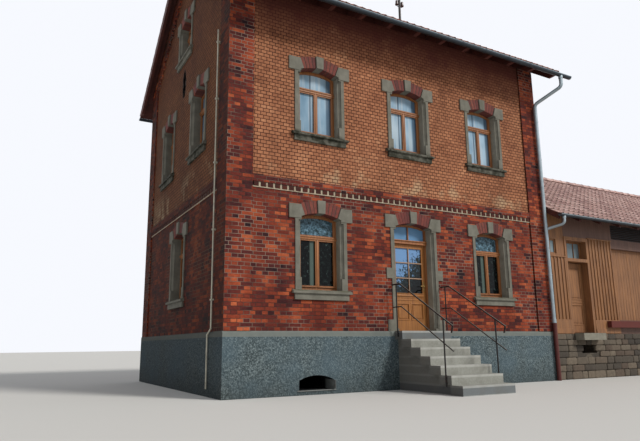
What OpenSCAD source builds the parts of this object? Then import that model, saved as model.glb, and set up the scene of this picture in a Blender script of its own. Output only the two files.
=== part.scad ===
// Railway station building of brick with stone window surrounds, a front stair,
// and a boarded goods shed built against its right gable.
// Millimetres. X runs along the front, Y into the building, Z is up.
// The origin lies under the front brick face, at the middle of the main front,
// on the lowest ground line.

/* [Main building] */
// width of the main front over its corner piers
front_w = 8920; // [7000:10:12000]
// depth of the main building
depth = 6840; // [5000:10:10000]
// height of the roughcast plinth above the lowest ground
plinth_h = 1230; // [600:10:1800]
// how far the plinth stands out from the brickwork
plinth_out = 50; // [20:5:100]
// thickness of the brick walls
wall_t = 380; // [240:10:510]
// width of the corner piers on each face
pier_w = 520; // [380:10:700]
// how far the corner piers stand out
pier_out = 35; // [10:5:80]
// underside of the brick band above the plinth top
band_z = 2828; // [2500:1:3200]
// height of the brick band
band_h = 275; // [150:1:400]
// level of the rafters' underside at the front face, above the plinth top
eave_z = 7270; // [6500:10:8000]
// upper floor level above the plinth top
upper_floor_z = 3330; // [2900:10:3700]
// attic floor level above the plinth top
attic_floor_z = 6000; // [5900:10:7000]

/* [Windows and door] */
// distance between the window axes of the front
window_pitch = 2428; // [2000:1:3000]
// how far the middle axis stands right of the front's middle
axis_shift = 50; // [0:1:200]
// clear width between the stone jambs
window_w = 950; // [700:10:1300]
// width of a stone jamb
jamb_w = 139; // [80:1:250]
// top of the lower window sills above the plinth top
lower_sill_z = 822; // [500:1:1200]
// top of the upper window sills above the plinth top
upper_sill_z = 4175; // [3800:1:4600]
// top of the attic window sills above the plinth top
attic_sill_z = 7150; // [6800:10:7600]
// height of the lower jambs
lower_jamb_h = 1468; // [1000:1:1800]
// height of the upper jambs
upper_jamb_h = 1400; // [1000:1:1800]
// height of the attic jambs
attic_jamb_h = 900; // [600:10:1400]
// rise of the segmental arches
arch_rise = 100; // [40:5:300]
// depth of the brick arch rings
ring_h = 263; // [120:1:390]
// height of the stone impost blocks
impost_h = 295; // [150:5:400]
// how far the sills reach past the jambs
sill_out = 19; // [0:1:60]
// how far the impost blocks reach past the jambs
impost_out = 141; // [40:1:250]
// height of the stone sills
sill_h = 200; // [100:5:300]
// depth of the outer reveal in front of the window frames
reveal = 200; // [100:10:260]
// clear width of the front doorway between its stones
door_w = 1034; // [900:2:1300]
// height of the door jambs
door_jamb_h = 2303; // [2000:1:2600]
// height of the window transoms as a part of the jamb height
transom_part = 0.742; // [0.6:0.001:0.8]
// width of the window frame seen beside its casements
frame_w = 45; // [20:1:60]
// width of the casements' stiles and rails
stile_w = 32; // [25:1:60]
// height of the window transoms
transom_h = 60; // [40:1:90]
// radius of the hollow worked on the edge of each stone jamb
hollow_r = 62; // [20:1:90]
// how far the casements stand out from the window frame
casement_out = 12; // [5:1:20]
// thickness of the window frames
window_frame_t = 65; // [50:1:90]
// thickness of the door frame
frame_t = 75; // [60:5:90]
// thickness of the door leaf
leaf_t = 50; // [40:1:60]
// top of the door leaf above the plinth top
leaf_top_z = 1985; // [1850:5:2100]
// width of the door leaf's stiles
leaf_stile_w = 86; // [70:1:140]
// height of one pane of the door leaf
leaf_pane_h = 330; // [250:1:350]
// clearance left round a moving leaf
gap = 6; // [5:1:15]

/* [Roof] */
// pitch of the main roof
roof_pitch = 37; // [25:0.5:50]
// how far the roof stands out at the eaves
eave_out = 740; // [300:10:1000]
// how far the roof stands out at the gables
verge_out = 290; // [100:10:600]
// depth of a rafter
rafter_h = 140; // [100:10:200]
// thickness of the roof boarding
board_t = 25; // [18:1:40]
// thickness of the laid tiles and battens
tile_t = 110; // [60:5:150]
// radius of the ridge tiles
ridge_r = 130; // [100:5:160]
// radius of the main gutters
gutter_r = 70; // [50:1:90]
// radius of the main downpipe
pipe_r = 48; // [35:1:60]
// position of the roof mast along the front
mast_x = 560; // [-3000:10:3000]
// distance of the roof mast behind the front face
mast_y = 800; // [300:10:2500]
// radius of the roof mast
mast_r = 32; // [20:1:60]
// height of the roof mast above the tiles
mast_h = 1730; // [1000:10:3000]
// rafters on each slope between the gables
rafter_count = 11; // [7:1:15]
// length of one step of the stepped courses under the verges
frieze_step = 260; // [130:10:400]

/* [Stair] */
// width of the front steps
step_w = 1340; // [1000:10:2000]
// number of steps with the landing slab
step_count = 7; // [4:1:9]
// going of one step
going = 292; // [250:1:350]
// depth of the landing slab in front of the plinth's brick line
landing_d = 310; // [250:5:1200]
// how far each block step lies under the one above it
step_lap = 45; // [20:1:80]
// how far the wall under the steps stands back from their ends
under_step_in = 80; // [0:5:200]
// height of the handrails above the landing
rail_h = 1000; // [850:10:1150]
// radius of the handrails
rail_r = 17; // [12:1:25]

/* [Goods shed] */
// length of the goods shed
shed_l = 10500; // [6000:50:16000]
// how far the boarded front stands behind the brick face
shed_back = 60; // [0:10:500]
// pitch of the shed roof
shed_pitch = 32.6; // [20:0.1:45]
// underside of the shed rafters at the front face, above the plinth top
shed_eave_z = 3210; // [2800:10:3600]
// how far the shed roof stands out at the eaves
shed_eave_out = 500; // [200:10:900]
// thickness of the framed and boarded wall
shed_wall_t = 100; // [60:5:200]
// depth of a shed rafter
shed_rafter_h = 100; // [80:10:180]
// thickness of the shed's laid tiles and battens
shed_tile_t = 70; // [50:5:120]
// radius of the shed's gutters
shed_gutter_r = 62; // [40:1:80]
// rafter bays of the shed
shed_bays = 12; // [6:1:20]
// distance from the house to the side door's frame
side_door_at = 850; // [600:10:1500]
// width of the side door's frame
side_door_w = 990; // [850:10:1200]
// distance from the house to the goods doorway
goods_at = 2910; // [2000:10:5000]
// width of the goods doorway
goods_w = 1740; // [1200:10:2600]

/* [Hidden] */
pt = plinth_h;
xl = -front_w / 2;
xr = front_w / 2;
mid_y = depth / 2;
k = tan(roof_pitch);
c = cos(roof_pitch);
half_w = window_w / 2;
half_out = half_w + jamb_w;
front_x = [axis_shift - window_pitch, axis_shift, axis_shift + window_pitch];
gable_upper_y = [mid_y - 1340, mid_y + 1340];
riser = 1220 / step_count;
shed_x0 = xr;
shed_x1 = xr + shed_l;
sk = tan(shed_pitch);
sc = cos(shed_pitch);
door2_x0 = shed_x0 + side_door_at;
door2_x1 = door2_x0 + side_door_w;
goods_x0 = shed_x0 + goods_at;
goods_x1 = goods_x0 + goods_w;
shed_floor_z = -30;
panel_top_z = 2600;
post_w = 80;
skirt_z = 320;
floor_t = 240;
tile_wall = 16;
leaf_y = reveal + frame_t - leaf_t;
jamb_out = 25;
casement_z = 73;
hinge_z = [200, 900, 1650];
roof_h = rafter_h + board_t + tile_t;
shed_roof_h = shed_rafter_h + board_t + shed_tile_t;
fit = 0.5;
brick_red = [0.55, 0.2, 0.13];
brick_yellow = [0.68, 0.45, 0.27];
stone = [0.5, 0.47, 0.4];
render_grey = [0.52, 0.52, 0.47];
oak = [0.6, 0.36, 0.16];
boards = [0.6, 0.4, 0.24];
dark_wood = [0.2, 0.14, 0.11];
clay = [0.62, 0.35, 0.27];
zinc = [0.55, 0.6, 0.64];
iron = [0.13, 0.12, 0.12];
glass = [0.3, 0.38, 0.42, 0.5];
concrete = [0.6, 0.57, 0.5];
$fn = 64;

// Shapes drawn on a wall face

module face_x(y0, y1) {
    translate([0, y1, pt]) rotate([90, 0, 0]) linear_extrude(y1 - y0) children();
}

module face_left(x0, x1) {
    translate([x0, 0, pt]) rotate([90, 0, 90]) linear_extrude(x1 - x0) children();
}

module arch_field(a, rise, below) {
    r = (a * a + rise * rise) / (2 * rise);
    intersection() {
        translate([0, rise - r]) circle(r, $fn = 128);
        translate([-a, -below]) square([2 * a, below + rise + 10]);
    }
}

// Outline of the hole that the stones, the arch and the light fill together
module rough_2d(a, jamb, low, sill_extra) {
    r = ring_r(a);
    zc = ring_zc(a, jamb);
    out = a + jamb_w + impost_out;
    translate([-a - jamb_w, -low]) square([2 * (a + jamb_w), low + jamb + 1]);
    translate([-a - jamb_w - sill_extra, -low]) square([2 * (a + jamb_w + sill_extra), low]);
    translate([-out, jamb]) square([2 * out, impost_h]);
    intersection() {
        translate([0, zc]) circle(r + ring_h, $fn = 160);
        ring_wedge(a, jamb);
    }
    keystone_2d(a, jamb);
}

function ring_r(a) = (a * a + arch_rise * arch_rise) / (2 * arch_rise);
function skew_x(a) = a * 0.842;
function ring_zc(a, jamb) = jamb + 44 + arch_rise - ring_r(a);

// Wedge that spans the arch ring between its slanted ends
module ring_wedge(a, jamb, joint = 0) {
    r = ring_r(a);
    zc = ring_zc(a, jamb);
    sx = skew_x(a) - joint;
    sz = sqrt(r * r - sx * sx);
    f = 1.4 * (r + ring_h) / r;
    polygon([[0, zc], [sx * f, zc + sz * f], [-sx * f, zc + sz * f]]);
}

module ring_2d(a, jamb) {
    r = ring_r(a);
    zc = ring_zc(a, jamb);
    intersection() {
        difference() {
            translate([0, zc]) circle(r + ring_h, $fn = 160);
            translate([0, zc]) circle(r, $fn = 160);
        }
        ring_wedge(a, jamb, 0.5);
    }
}

module impost_2d(a, jamb, side) {
    r = ring_r(a);
    zc = ring_zc(a, jamb);
    sx = skew_x(a);
    sz = zc + sqrt(r * r - sx * sx);
    top = jamb + impost_h;
    tx = sx * (top - zc) / (sz - zc);
    mirror([side < 0 ? 1 : 0, 0])
        polygon([[a, jamb], [a + jamb_w + impost_out, jamb], [a + jamb_w + impost_out, top],
                 [tx, top], [sx, sz], [a, jamb + 44]]);
}

// Hole in the brickwork behind the stones
module back_rough_2d(a, jamb, low) {
    translate([-a - jamb_w, -low]) square([2 * (a + jamb_w), low + jamb + 44]);
    translate([0, jamb + 44]) arch_field(a + jamb_w, arch_rise + 20, 1);
}

// Cuts one window through a wall that faces -Y
module window_cut(x, sill_z, jamb) {
    translate([x, 0, sill_z]) {
        face_x(-200, reveal) rough_2d(half_w, jamb, sill_h, sill_out);
        face_x(reveal - 1, wall_t + 50) back_rough_2d(half_w, jamb, 0);
    }
}

module to_left_gable(y) {
    translate([xl, y, 0]) rotate([0, 0, -90]) children();
}

module to_right_gable(y) {
    translate([xr, y, 0]) rotate([0, 0, 90]) children();
}

module to_back(x) {
    translate([x, depth, 0]) rotate([0, 0, 180]) children();
}

// The two jambs of one window, each with a stopped hollow along its edge
module jamb_stones(jamb) {
    for (s = [-1, 1]) difference() {
        face_x(-jamb_out, reveal)
            translate([s > 0 ? half_w : -half_w - jamb_w, 0]) square([jamb_w, jamb]);
        jamb_hollow(s * half_w, 250, jamb - 30);
    }
}

module jamb_hollow(x, z0, z1) {
    translate([x, -jamb_out, pt + z0]) cylinder(h = z1 - z0, r = hollow_r);
}

module sill_stone() {
    w = 2 * (half_out + sill_out);
    nose = 55;
    translate([-w / 2, 0, pt]) rotate([90, 0, 90]) linear_extrude(w)
        polygon([[-45, -sill_h], [reveal, -sill_h], [reveal, 0], [-10, 0], [-45, -30]]);
    translate([-w / 2 - nose, 0, pt]) rotate([90, 0, 90]) linear_extrude(w + 2 * nose)
        polygon([[-85, -75], [-85, -35], [-20, 0], [-0.5, 0], [-0.5, -75]]);
}

module keystone_2d(a, jamb) {
    zc = ring_zc(a, jamb);
    r = ring_r(a);
    polygon([[-82, zc + r - 4], [82, zc + r - 4], [95, zc + r + ring_h + 10], [-95, zc + r + ring_h + 10]]);
}

// Brick arch in two halves beside the keystone
module arch_halves(a, jamb) {
    face_x(-8, reveal) difference() {
        ring_2d(a, jamb);
        keystone_2d(a, jamb);
    }
}

// Outlines of the two casements and the arched light, drawn in by the width of their wood
module lights_2d(jamb, wood) {
    t = jamb * transom_part;
    side = frame_w + wood;
    for (s = [0, 1]) mirror([s, 0]) translate([6 + wood, casement_z + wood])
        square([half_w - side - 6 - wood, t - casement_z - 2 * wood]);
    intersection() {
        translate([-half_w + side, t + transom_h - 10 + wood]) square([2 * (half_w - side), 1000]);
        translate([0, jamb + 54 - wood]) arch_field(half_w - side, arch_rise - 45, 600);
    }
}

// Wooden frame with a transom and two casements under an arched light
module window_wood(jamb) {
    t = jamb * transom_part;
    face_x(reveal, reveal + window_frame_t) difference() {
        intersection() {
            back_rough_2d(half_w, jamb, 0);
            translate([-half_w - 60, 0]) square([2 * half_w + 120, 3000]);
        }
        lights_2d(jamb, stile_w);
    }
    face_x(reveal - casement_out, reveal) difference() {
        lights_2d(jamb, 0);
        lights_2d(jamb, stile_w);
    }
    face_x(reveal - 28, reveal) translate([-half_w + 1, t - 6]) square([window_w - 2, transom_h]);
}

module window_glass(jamb) {
    face_x(reveal + 28, reveal + 34) lights_2d(jamb, stile_w);
}

// Places a ground storey, an upper storey and an attic window wherever the house has one
module at_windows() {
    for (x = [front_x[0], front_x[2]]) translate([x, 0, lower_sill_z]) children(0);
    for (x = front_x) translate([x, 0, upper_sill_z]) children(1);
    to_left_gable(mid_y) translate([0, 0, lower_sill_z]) children(0);
    for (y = gable_upper_y) to_left_gable(y) translate([0, 0, upper_sill_z]) children(1);
    for (x = front_x) to_back(x) {
        translate([0, 0, lower_sill_z]) children(0);
        translate([0, 0, upper_sill_z]) children(1);
    }
    to_left_gable(mid_y) translate([0, 0, attic_sill_z]) children(2);
    to_right_gable(mid_y) translate([0, 0, attic_sill_z]) children(2);
}

module at_door() {
    translate([axis_shift, 0, 0]) children();
}

// Sloping plane of the main roof, cut as a prism above a line
module above_slope(z0) {
    translate([xl - 2000, 0, pt]) rotate([90, 0, 90]) linear_extrude(front_w + 4000)
        polygon([[-3000, z0 - 3000 * k], [mid_y, z0 + mid_y * k], [depth + 3000, z0 - 3000 * k],
                 [depth + 3000, 20000], [-3000, 20000]]);
}

// Solids of the main building

module plinth() {
    color(render_grey) {
        difference() {
            plinth_side(front_w);
            translate([-2545, 0, 90 - pt]) face_x(-200, 600) {
                translate([-390, 0]) square([780, 190]);
                translate([0, 190]) arch_field(390, 90, 1);
            }
        }
        translate([0, depth, 0]) rotate([0, 0, 180]) plinth_side(front_w);
        for (m = [0, 1]) mirror([m, 0, 0]) translate([xl, 0, 0]) rotate([0, 0, 90])
            translate([450, 0, 0]) rotate([90, 0, 90]) linear_extrude(depth - 900)
                polygon([[plinth_out, 0], [plinth_out, pt - 30], [plinth_out - 30, pt],
                         [-450, pt], [-450, 0]]);
    }
}

module plinth_side(w) {
    translate([-w / 2 - plinth_out, 0, 0]) rotate([90, 0, 90]) linear_extrude(w + 2 * plinth_out)
        polygon([[-plinth_out, 0], [-plinth_out, pt - 30], [-plinth_out + 30, pt], [450, pt], [450, 0]]);
}

module front_wall_lower() {
    x0 = axis_shift - door_w / 2 - jamb_w;
    x1 = axis_shift + door_w / 2 + jamb_w;
    color(brick_red) difference() {
        translate([xl + pier_w, 0, pt]) cube([x0 - xl - pier_w, wall_t, band_z]);
        window_cut(front_x[0], lower_sill_z, lower_jamb_h);
        door_cut();
    }
    color(brick_red) difference() {
        translate([x1, 0, pt]) cube([xr - pier_w - x1, wall_t, band_z]);
        window_cut(front_x[2], lower_sill_z, lower_jamb_h);
        door_cut();
    }
}

module door_cut() {
    translate([axis_shift, 0, 0]) {
        face_x(-200, reveal) {
            rough_2d(door_w / 2, door_jamb_h, 10, 0);
            for (z = [-10, 1150]) translate([-door_w / 2 - jamb_w - impost_out, z])
                square([door_w + 2 * (jamb_w + impost_out), z < 0 ? 260 : 235]);
        }
        face_x(reveal - 1, wall_t + 50) back_rough_2d(door_w / 2, door_jamb_h, 10);
    }
}

module front_wall_upper() {
    color(brick_yellow) difference() {
        union() {
            translate([xl + pier_w, 0, pt + band_z + band_h])
                cube([front_w - 2 * pier_w, wall_t, 9000]);
            translate([axis_shift - door_w / 2 - jamb_w, 0, pt + band_z - 600])
                cube([door_w + 2 * jamb_w, wall_t, 600 + band_h]);
        }
        above_slope(eave_z - 1);
        for (x = front_x) window_cut(x, upper_sill_z, upper_jamb_h);
        door_cut();
    }
}

module back_wall_lower() {
    color(brick_red) to_back(0) difference() {
        translate([xl + pier_w, 0, pt]) cube([front_w - 2 * pier_w, wall_t, band_z]);
        for (x = front_x) window_cut(-x, lower_sill_z, lower_jamb_h);
    }
}

module back_wall_upper() {
    color(brick_yellow) to_back(0) difference() {
        translate([xl + pier_w, 0, pt + band_z + band_h]) cube([front_w - 2 * pier_w, wall_t, 9000]);
        above_slope(eave_z - 1);
        for (x = front_x) window_cut(-x, upper_sill_z, upper_jamb_h);
    }
}

module gable_left_lower() {
    color(brick_red) difference() {
        translate([xl, pier_w, pt]) cube([wall_t, depth - 2 * pier_w, band_z]);
        to_left_gable(mid_y) window_cut(0, lower_sill_z, lower_jamb_h);
    }
}

module gable_left_upper() {
    color(brick_yellow) difference() {
        gable_upper_slab(xl);
        for (y = gable_upper_y) to_left_gable(y) window_cut(0, upper_sill_z, upper_jamb_h);
        to_left_gable(mid_y) window_cut(0, attic_sill_z, attic_jamb_h);
        slot_cut();
    }
}

// Narrow vent slot with toothed sides under the attic window
module slot_cut() {
    for (i = [0:4]) translate([xl - 50, mid_y - (i % 2 == 0 ? 65 : 125), pt + 6010 + i * 140])
        cube([wall_t + 100, i % 2 == 0 ? 130 : 250, 141]);
}

module gable_upper_slab(x) {
    difference() {
        translate([x, pier_w, pt + band_z + band_h]) cube([wall_t, depth - 2 * pier_w, 9000]);
        above_slope(eave_z - 1 + rafter_h / c);
    }
}

module gable_right() {
    color(brick_red) difference() {
        union() {
            translate([xr - wall_t, pier_w, pt]) cube([wall_t, depth - 2 * pier_w, band_z + band_h]);
            gable_upper_slab(xr - wall_t);
        }
        to_right_gable(mid_y) window_cut(0, attic_sill_z, attic_jamb_h);
    }
}

module corner_piers() {
    color(brick_red) difference() {
        for (m = [0, 1], n = [0, 1]) mirror([m, 0, 0]) translate([0, n * depth, 0]) mirror([0, n, 0])
            translate([xl, 0, pt]) linear_extrude(8500)
                polygon([[-pier_out, -pier_out], [pier_w, -pier_out], [pier_w, wall_t], [wall_t, wall_t],
                         [wall_t, pier_w], [-pier_out, pier_w]]);
        above_slope(eave_z - 1);
    }
}

module band_strip(w, n) {
    translate([-w / 2, 0, pt + band_z]) cube([w, wall_t, band_h]);
    translate([-w / 2, -12, pt + band_z]) cube([w, 13, 30]);
    translate([-w / 2, -30, pt + band_z + 125]) cube([w, 31, band_h - 125]);
    for (i = [0:n - 1]) translate([-w / 2 + (i + 0.5) * w / n - 53, -25, pt + band_z + 29])
        cube([106, 26, 97]);
}

module brick_band() {
    w = front_w - 2 * pier_w;
    g = depth - 2 * pier_w;
    color(brick_red) {
        difference() {
            band_strip(w, 50);
            translate([axis_shift - door_w / 2 - jamb_w, 0, pt + band_z - 100])
                cube([door_w + 2 * jamb_w, wall_t + 1, band_h + 200]);
        }
        to_back(0) band_strip(w, 50);
        to_left_gable(mid_y) band_strip(g, 37);
    }
}

// Stepped courses under the verges, and the pieces that close the corners
module rake_friezes() {
    top = eave_z - 1 + rafter_h / c;
    step = frieze_step;
    color(brick_red) for (m = [0, 1]) mirror([m, 0, 0]) {
        for (n = [0, 1]) translate([0, n * depth, 0]) mirror([0, n, 0]) {
            face_left(xl - 60, xl) intersection() {
                union() for (i = [0:ceil((mid_y - pier_w) / step)])
                    translate([pier_w + i * step, eave_z + k * (pier_w + i * step) - 260])
                        square([step, 900]);
                polygon([[pier_w, 0], [mid_y, 0], [mid_y, top + mid_y * k], [pier_w, top + pier_w * k]]);
            }
            face_left(xl - 60, xl + wall_t)
                polygon([[0, eave_z + 1], [pier_w, eave_z + 1 + pier_w * k],
                         [pier_w, top + pier_w * k], [0, top]]);
        }
    }
}

module floors() {
    room_w = front_w - 2 * wall_t;
    room_d = depth - 2 * wall_t;
    color(dark_wood) {
        translate([xl + 450, 450, pt - 200]) cube([front_w - 900, depth - 900, 200]);
        for (z = [upper_floor_z, attic_floor_z])
            translate([xl + wall_t, wall_t, pt + z - floor_t]) cube([room_w, room_d, floor_t]);
    }
}

module shed_floor() {
    color(dark_wood) {
        translate([shed_x0 + 60, 430, pt + shed_floor_z - 150]) cube([shed_l - 480, depth - 860, 150]);
        translate([shed_x0 + 60, 310, pt + shed_floor_z - 29]) cube([shed_l - 165, depth - 480, 29]);
    }
}

// Front slope drawn from the side between two heights over the rafters' underside
module slope_2d(low, high, reach, top_gap) {
    polygon([[-reach, eave_z - reach * k + low], [mid_y - top_gap, eave_z + (mid_y - top_gap) * k + low],
             [mid_y - top_gap, eave_z + (mid_y - top_gap) * k + high], [-reach, eave_z - reach * k + high]]);
}

module both_slopes() {
    children();
    translate([0, depth, 0]) mirror([0, 1, 0]) children();
}

module rafter_2d() {
    cut = eave_z - 430 * k;
    intersection() {
        slope_2d(0, (rafter_h - fit) / c, 700, 1);
        translate([-800, cut]) square([6000, 6000]);
    }
}

module rafters() {
    span = front_w - 2 * wall_t - 400;
    color(dark_wood) both_slopes() {
        for (i = [0:rafter_count - 1]) translate([-span / 2 + i * span / (rafter_count - 1), 0, 0])
            face_left(-50, 50) rafter_2d();
        for (s = [-1, 1]) translate([s * (front_w / 2 + verge_out - 40), 0, 0])
            face_left(-40, 40) rafter_2d();
    }
}

module roof_boards() {
    color(dark_wood) difference() {
        both_slopes() face_left(xl - verge_out, xr + verge_out)
            slope_2d(rafter_h / c, (rafter_h + board_t - fit) / c, eave_out - 35, 1);
        mast_hole();
    }
}

module roof_tiles() {
    color(clay) difference() {
        both_slopes() face_left(xl - verge_out, xr + verge_out)
            slope_2d((rafter_h + board_t) / c, roof_h / c, eave_out, 1);
        mast_hole();
    }
}

module mast_hole() {
    translate([mast_x, mast_y, pt + upper_floor_z]) cylinder(h = 9000, r = mast_r + 8);
}

module half_pipe(l, r, t) {
    rotate([90, 0, 90]) linear_extrude(l) difference() {
        half_disc(r);
        circle(r - t);
    }
}

module ridge_tiles() {
    color(clay) {
        ridge_run(xl - verge_out, xr + verge_out, eave_z + mid_y * k + roof_h / c, ridge_r, k);
        ridge_run(shed_x0 + 8, shed_x1 + 200, shed_eave_z + mid_y * sk + shed_roof_h / sc,
                  ridge_r - 5, sk);
    }
}

// Half round tiles whose lower edges just clear the slopes beside the ridge
module ridge_run(x0, x1, top, r, slope) {
    translate([x0, mid_y, pt + top - (r - tile_wall) * slope + 1]) rotate([180, 0, 0])
        half_pipe(x1 - x0, r, tile_wall);
}

module gutters() {
    color(zinc) {
        gutter_run(xl - verge_out, xr + 660, -eave_out - 45, gutter_z(), gutter_r);
        translate([0, depth, 0]) mirror([0, 1, 0])
            gutter_run(xl - verge_out, xr + verge_out, -eave_out - 45, gutter_z(), gutter_r);
        both_slopes() gutter_run(shed_x0 + pier_out + 2, shed_x1 + 200, -shed_eave_out - 40,
                                 shed_gutter_z(), shed_gutter_r);
    }
}

module gutter_run(x0, x1, y, z, r) {
    translate([x0, y, pt + z]) half_pipe(x1 - x0, r, 4);
    for (x = [x0, x1 - 4]) translate([x, y, pt + z]) rotate([90, 0, 90]) linear_extrude(4) half_disc(r);
}

module half_disc(r) {
    difference() {
        circle(r);
        translate([-r - 1, 0]) square([2 * r + 2, r + 1]);
    }
}

// Flat iron hooks that carry the gutters, screwed under the roof boards
module gutter_hooks() {
    color(zinc) {
        both_slopes() for (i = [0:9]) translate([-3492 + i * 776, 0, 0])
            hook_profile(-eave_out - 45, gutter_z(), gutter_r, k, -eave_out + 140);
        both_slopes() for (i = [0:10]) translate([shed_x0 + 540 + i * 856, 0, 0])
            hook_profile(-shed_eave_out - 40, shed_gutter_z(), shed_gutter_r, sk, -shed_eave_out + 140);
    }
}

module hook_profile(y, z, r, rise, y_end) {
    back = y + r + 4;
    low = [y + (r + 3) * cos(35), z - (r + 3) * sin(35)];
    high = [y + (r + 3) * cos(30), z - (r + 3) * sin(30)];
    face_left(-12, 12) {
        translate([y, z]) difference() {
            half_disc(r + 5);
            circle(r + 0.5);
        }
        polygon([low, [y_end, z - 13 + (y_end - back) * rise],
                 [y_end, z - 8 + (y_end - back) * rise], high]);
    }
}

function gutter_z() = eave_z - eave_out * k + (rafter_h + board_t) / c - 2;
function shed_gutter_z() = shed_eave_z - shed_eave_out * sk + (shed_rafter_h + board_t) / sc - 6;

module tube_between(a, b, r) {
    d = b - a;
    l = norm(d);
    translate(a) rotate([0, acos(d[2] / l), atan2(d[1], d[0])]) cylinder(h = l, r = r);
}

// Straight tubes joined by slightly thicker beads at the bends
module tube_path(points, r) {
    for (i = [0:len(points) - 2]) tube_between(points[i], points[i + 1], r);
    for (i = [1:len(points) - 2]) translate(points[i]) sphere(r + 2);
}

module downpipes() {
    px = xr - 30;
    py = -plinth_out - 62;
    y = -eave_out - 45;
    shed_y = -shed_eave_out - 40;
    main = pt + gutter_z() - 40;
    shed = pt + shed_gutter_z() - 40;
    color(zinc) difference() {
        union() {
            tube_path([[xr + 280, y, main], [xr + 280, y, main - 260], [px, py, pt + 6230],
                       [px, py, pt + 215]], pipe_r);
            translate([px, py, pt + 215]) cylinder(h = 90, r = pipe_r + 10);
            for (z = [1450, 3600, 5700]) translate([px, py, pt + z]) {
                cylinder(h = 30, r = pipe_r + 6);
                translate([-6, 0, 4]) cube([12, -py - pier_out, 22]);
            }
            tube_path([[shed_x0 + 190, shed_y, shed], [shed_x0 + 190, shed_y, shed - 210],
                       [px, py, pt + 2690]], pipe_r - 10);
        }
        gutter_core(xr + 180, y, gutter_z(), gutter_r);
        gutter_core(shed_x0 + 90, shed_y, shed_gutter_z(), shed_gutter_r);
    }
}

// Space taken by a gutter where a pipe meets it from below
module gutter_core(x, y, z, r) {
    translate([x, y, pt + z]) rotate([0, 90, 0]) cylinder(h = 200, r = r + 0.5);
}

module standpipe() {
    color([0.36, 0.2, 0.17]) translate([xr - 30, -plinth_out - 62, 0]) {
        cylinder(h = pt + 213, r = pipe_r + 6);
        translate([0, 0, pt + 130]) cylinder(h = 60, r = pipe_r + 12);
    }
}

module roof_mast() {
    under = eave_z + mast_y * k;
    top = under + roof_h / c;
    rafter_side = (front_w - 2 * wall_t - 400) / (rafter_count - 1) - 50;
    color(iron) translate([mast_x, mast_y, pt]) {
        translate([0, 0, under - 300]) cylinder(h = top - under + 300 + mast_h, r = mast_r);
        for (z = [-120, 40]) translate([0, -20, under + z]) cube([rafter_side - mast_x, 40, 30]);
        for (z = [1000, 1400]) translate([0, 0, top + z]) {
            translate([-320, -15, 0]) cube([640, 30, 40]);
            for (x = [-290, 290]) translate([x, 0, 40]) cylinder(h = 110, r = 34);
        }
    }
}

module conductor() {
    y = 585;
    color(zinc) {
        tube_path([[xl - 62, y, pt + 6400], [xl - 62, y, pt + 60], [xl - 85, y + 150, pt - 60],
                   [xl - 85, y + 150, 150]], 16);
        for (z = [600, 2000, 3400, 4800, 6100]) translate([xl - 90, y - 26, pt + z]) cube([90, 52, 30]);
    }
}

module window_sills() {
    color(stone) at_windows() {
        sill_stone();
        sill_stone();
        sill_stone();
    }
}

module window_jambs() {
    color(stone) at_windows() {
        jamb_stones(lower_jamb_h);
        jamb_stones(upper_jamb_h);
        jamb_stones(attic_jamb_h);
    }
}

module impost_pair(a, jamb) {
    for (s = [-1, 1]) face_x(-35, reveal) impost_2d(a, jamb, s);
}

module impost_blocks() {
    color(stone) {
        at_windows() {
            impost_pair(half_w, lower_jamb_h);
            impost_pair(half_w, upper_jamb_h);
            impost_pair(half_w, attic_jamb_h);
        }
        at_door() impost_pair(door_w / 2, door_jamb_h);
    }
}

module keystones() {
    color(stone) {
        at_windows() {
            face_x(-45, reveal) keystone_2d(half_w, lower_jamb_h);
            face_x(-45, reveal) keystone_2d(half_w, upper_jamb_h);
            face_x(-45, reveal) keystone_2d(half_w, attic_jamb_h);
        }
        at_door() face_x(-45, reveal) keystone_2d(door_w / 2, door_jamb_h);
    }
}

module brick_arches() {
    color(brick_red) {
        at_windows() {
            arch_halves(half_w, lower_jamb_h);
            arch_halves(half_w, upper_jamb_h);
            arch_halves(half_w, attic_jamb_h);
        }
        at_door() arch_halves(door_w / 2, door_jamb_h);
    }
}

module window_frames() {
    color(oak) at_windows() {
        window_wood(lower_jamb_h);
        window_wood(upper_jamb_h);
        window_wood(attic_jamb_h);
    }
}

module window_panes() {
    color(glass) {
        at_windows() {
            window_glass(lower_jamb_h);
            window_glass(upper_jamb_h);
            window_glass(attic_jamb_h);
        }
        at_door() face_x(reveal + 38, reveal + 44) door_light_2d();
        face_x(shed_back + 213, shed_back + 219) translate([door2_x0 + post_w, 2000])
            square([side_door_w - 2 * post_w, 500]);
        face_x(shed_back + 48, shed_back + 54) translate([shed_x0 + 110, 2090]) square([400, 400]);
    }
}

// Door jambs with two toothed blocks on each side
module door_jambs() {
    a = door_w / 2;
    color(stone) at_door() for (s = [-1, 1]) difference() {
        face_x(-jamb_out, reveal) mirror([s < 0 ? 1 : 0, 0]) {
            translate([a, 0]) square([jamb_w, door_jamb_h]);
            for (z = [0, 1150]) translate([a, z]) square([jamb_w + impost_out, z == 0 ? 250 : 235]);
        }
        jamb_hollow(s * a, 60, door_jamb_h - 30);
    }
}

module door_light_2d() {
    a = door_w / 2 - 50;
    for (s = [0, 1]) mirror([s, 0]) intersection() {
        translate([11, leaf_top_z + 105]) square([a - 11, 1000]);
        translate([0, door_jamb_h + 44]) arch_field(a, arch_rise - 45, 600);
    }
}

module door_frame() {
    a = door_w / 2;
    color(oak) translate([axis_shift, 0, 0]) {
        face_x(reveal, reveal + frame_t) difference() {
            intersection() {
                back_rough_2d(a, door_jamb_h, 0);
                translate([-a - 60, 0]) square([2 * a + 120, 3000]);
            }
            translate([-a + 50, -1]) square([2 * a - 100, leaf_top_z + gap + 1]);
            door_light_2d();
        }
        face_x(reveal - 28, reveal) translate([-a + 1, leaf_top_z + 10]) square([2 * a - 2, 80]);
        for (z = hinge_z) translate([-leaf_x() - 3, reveal + frame_t, pt + z + 47]) knuckle(-1);
    }
}

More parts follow.
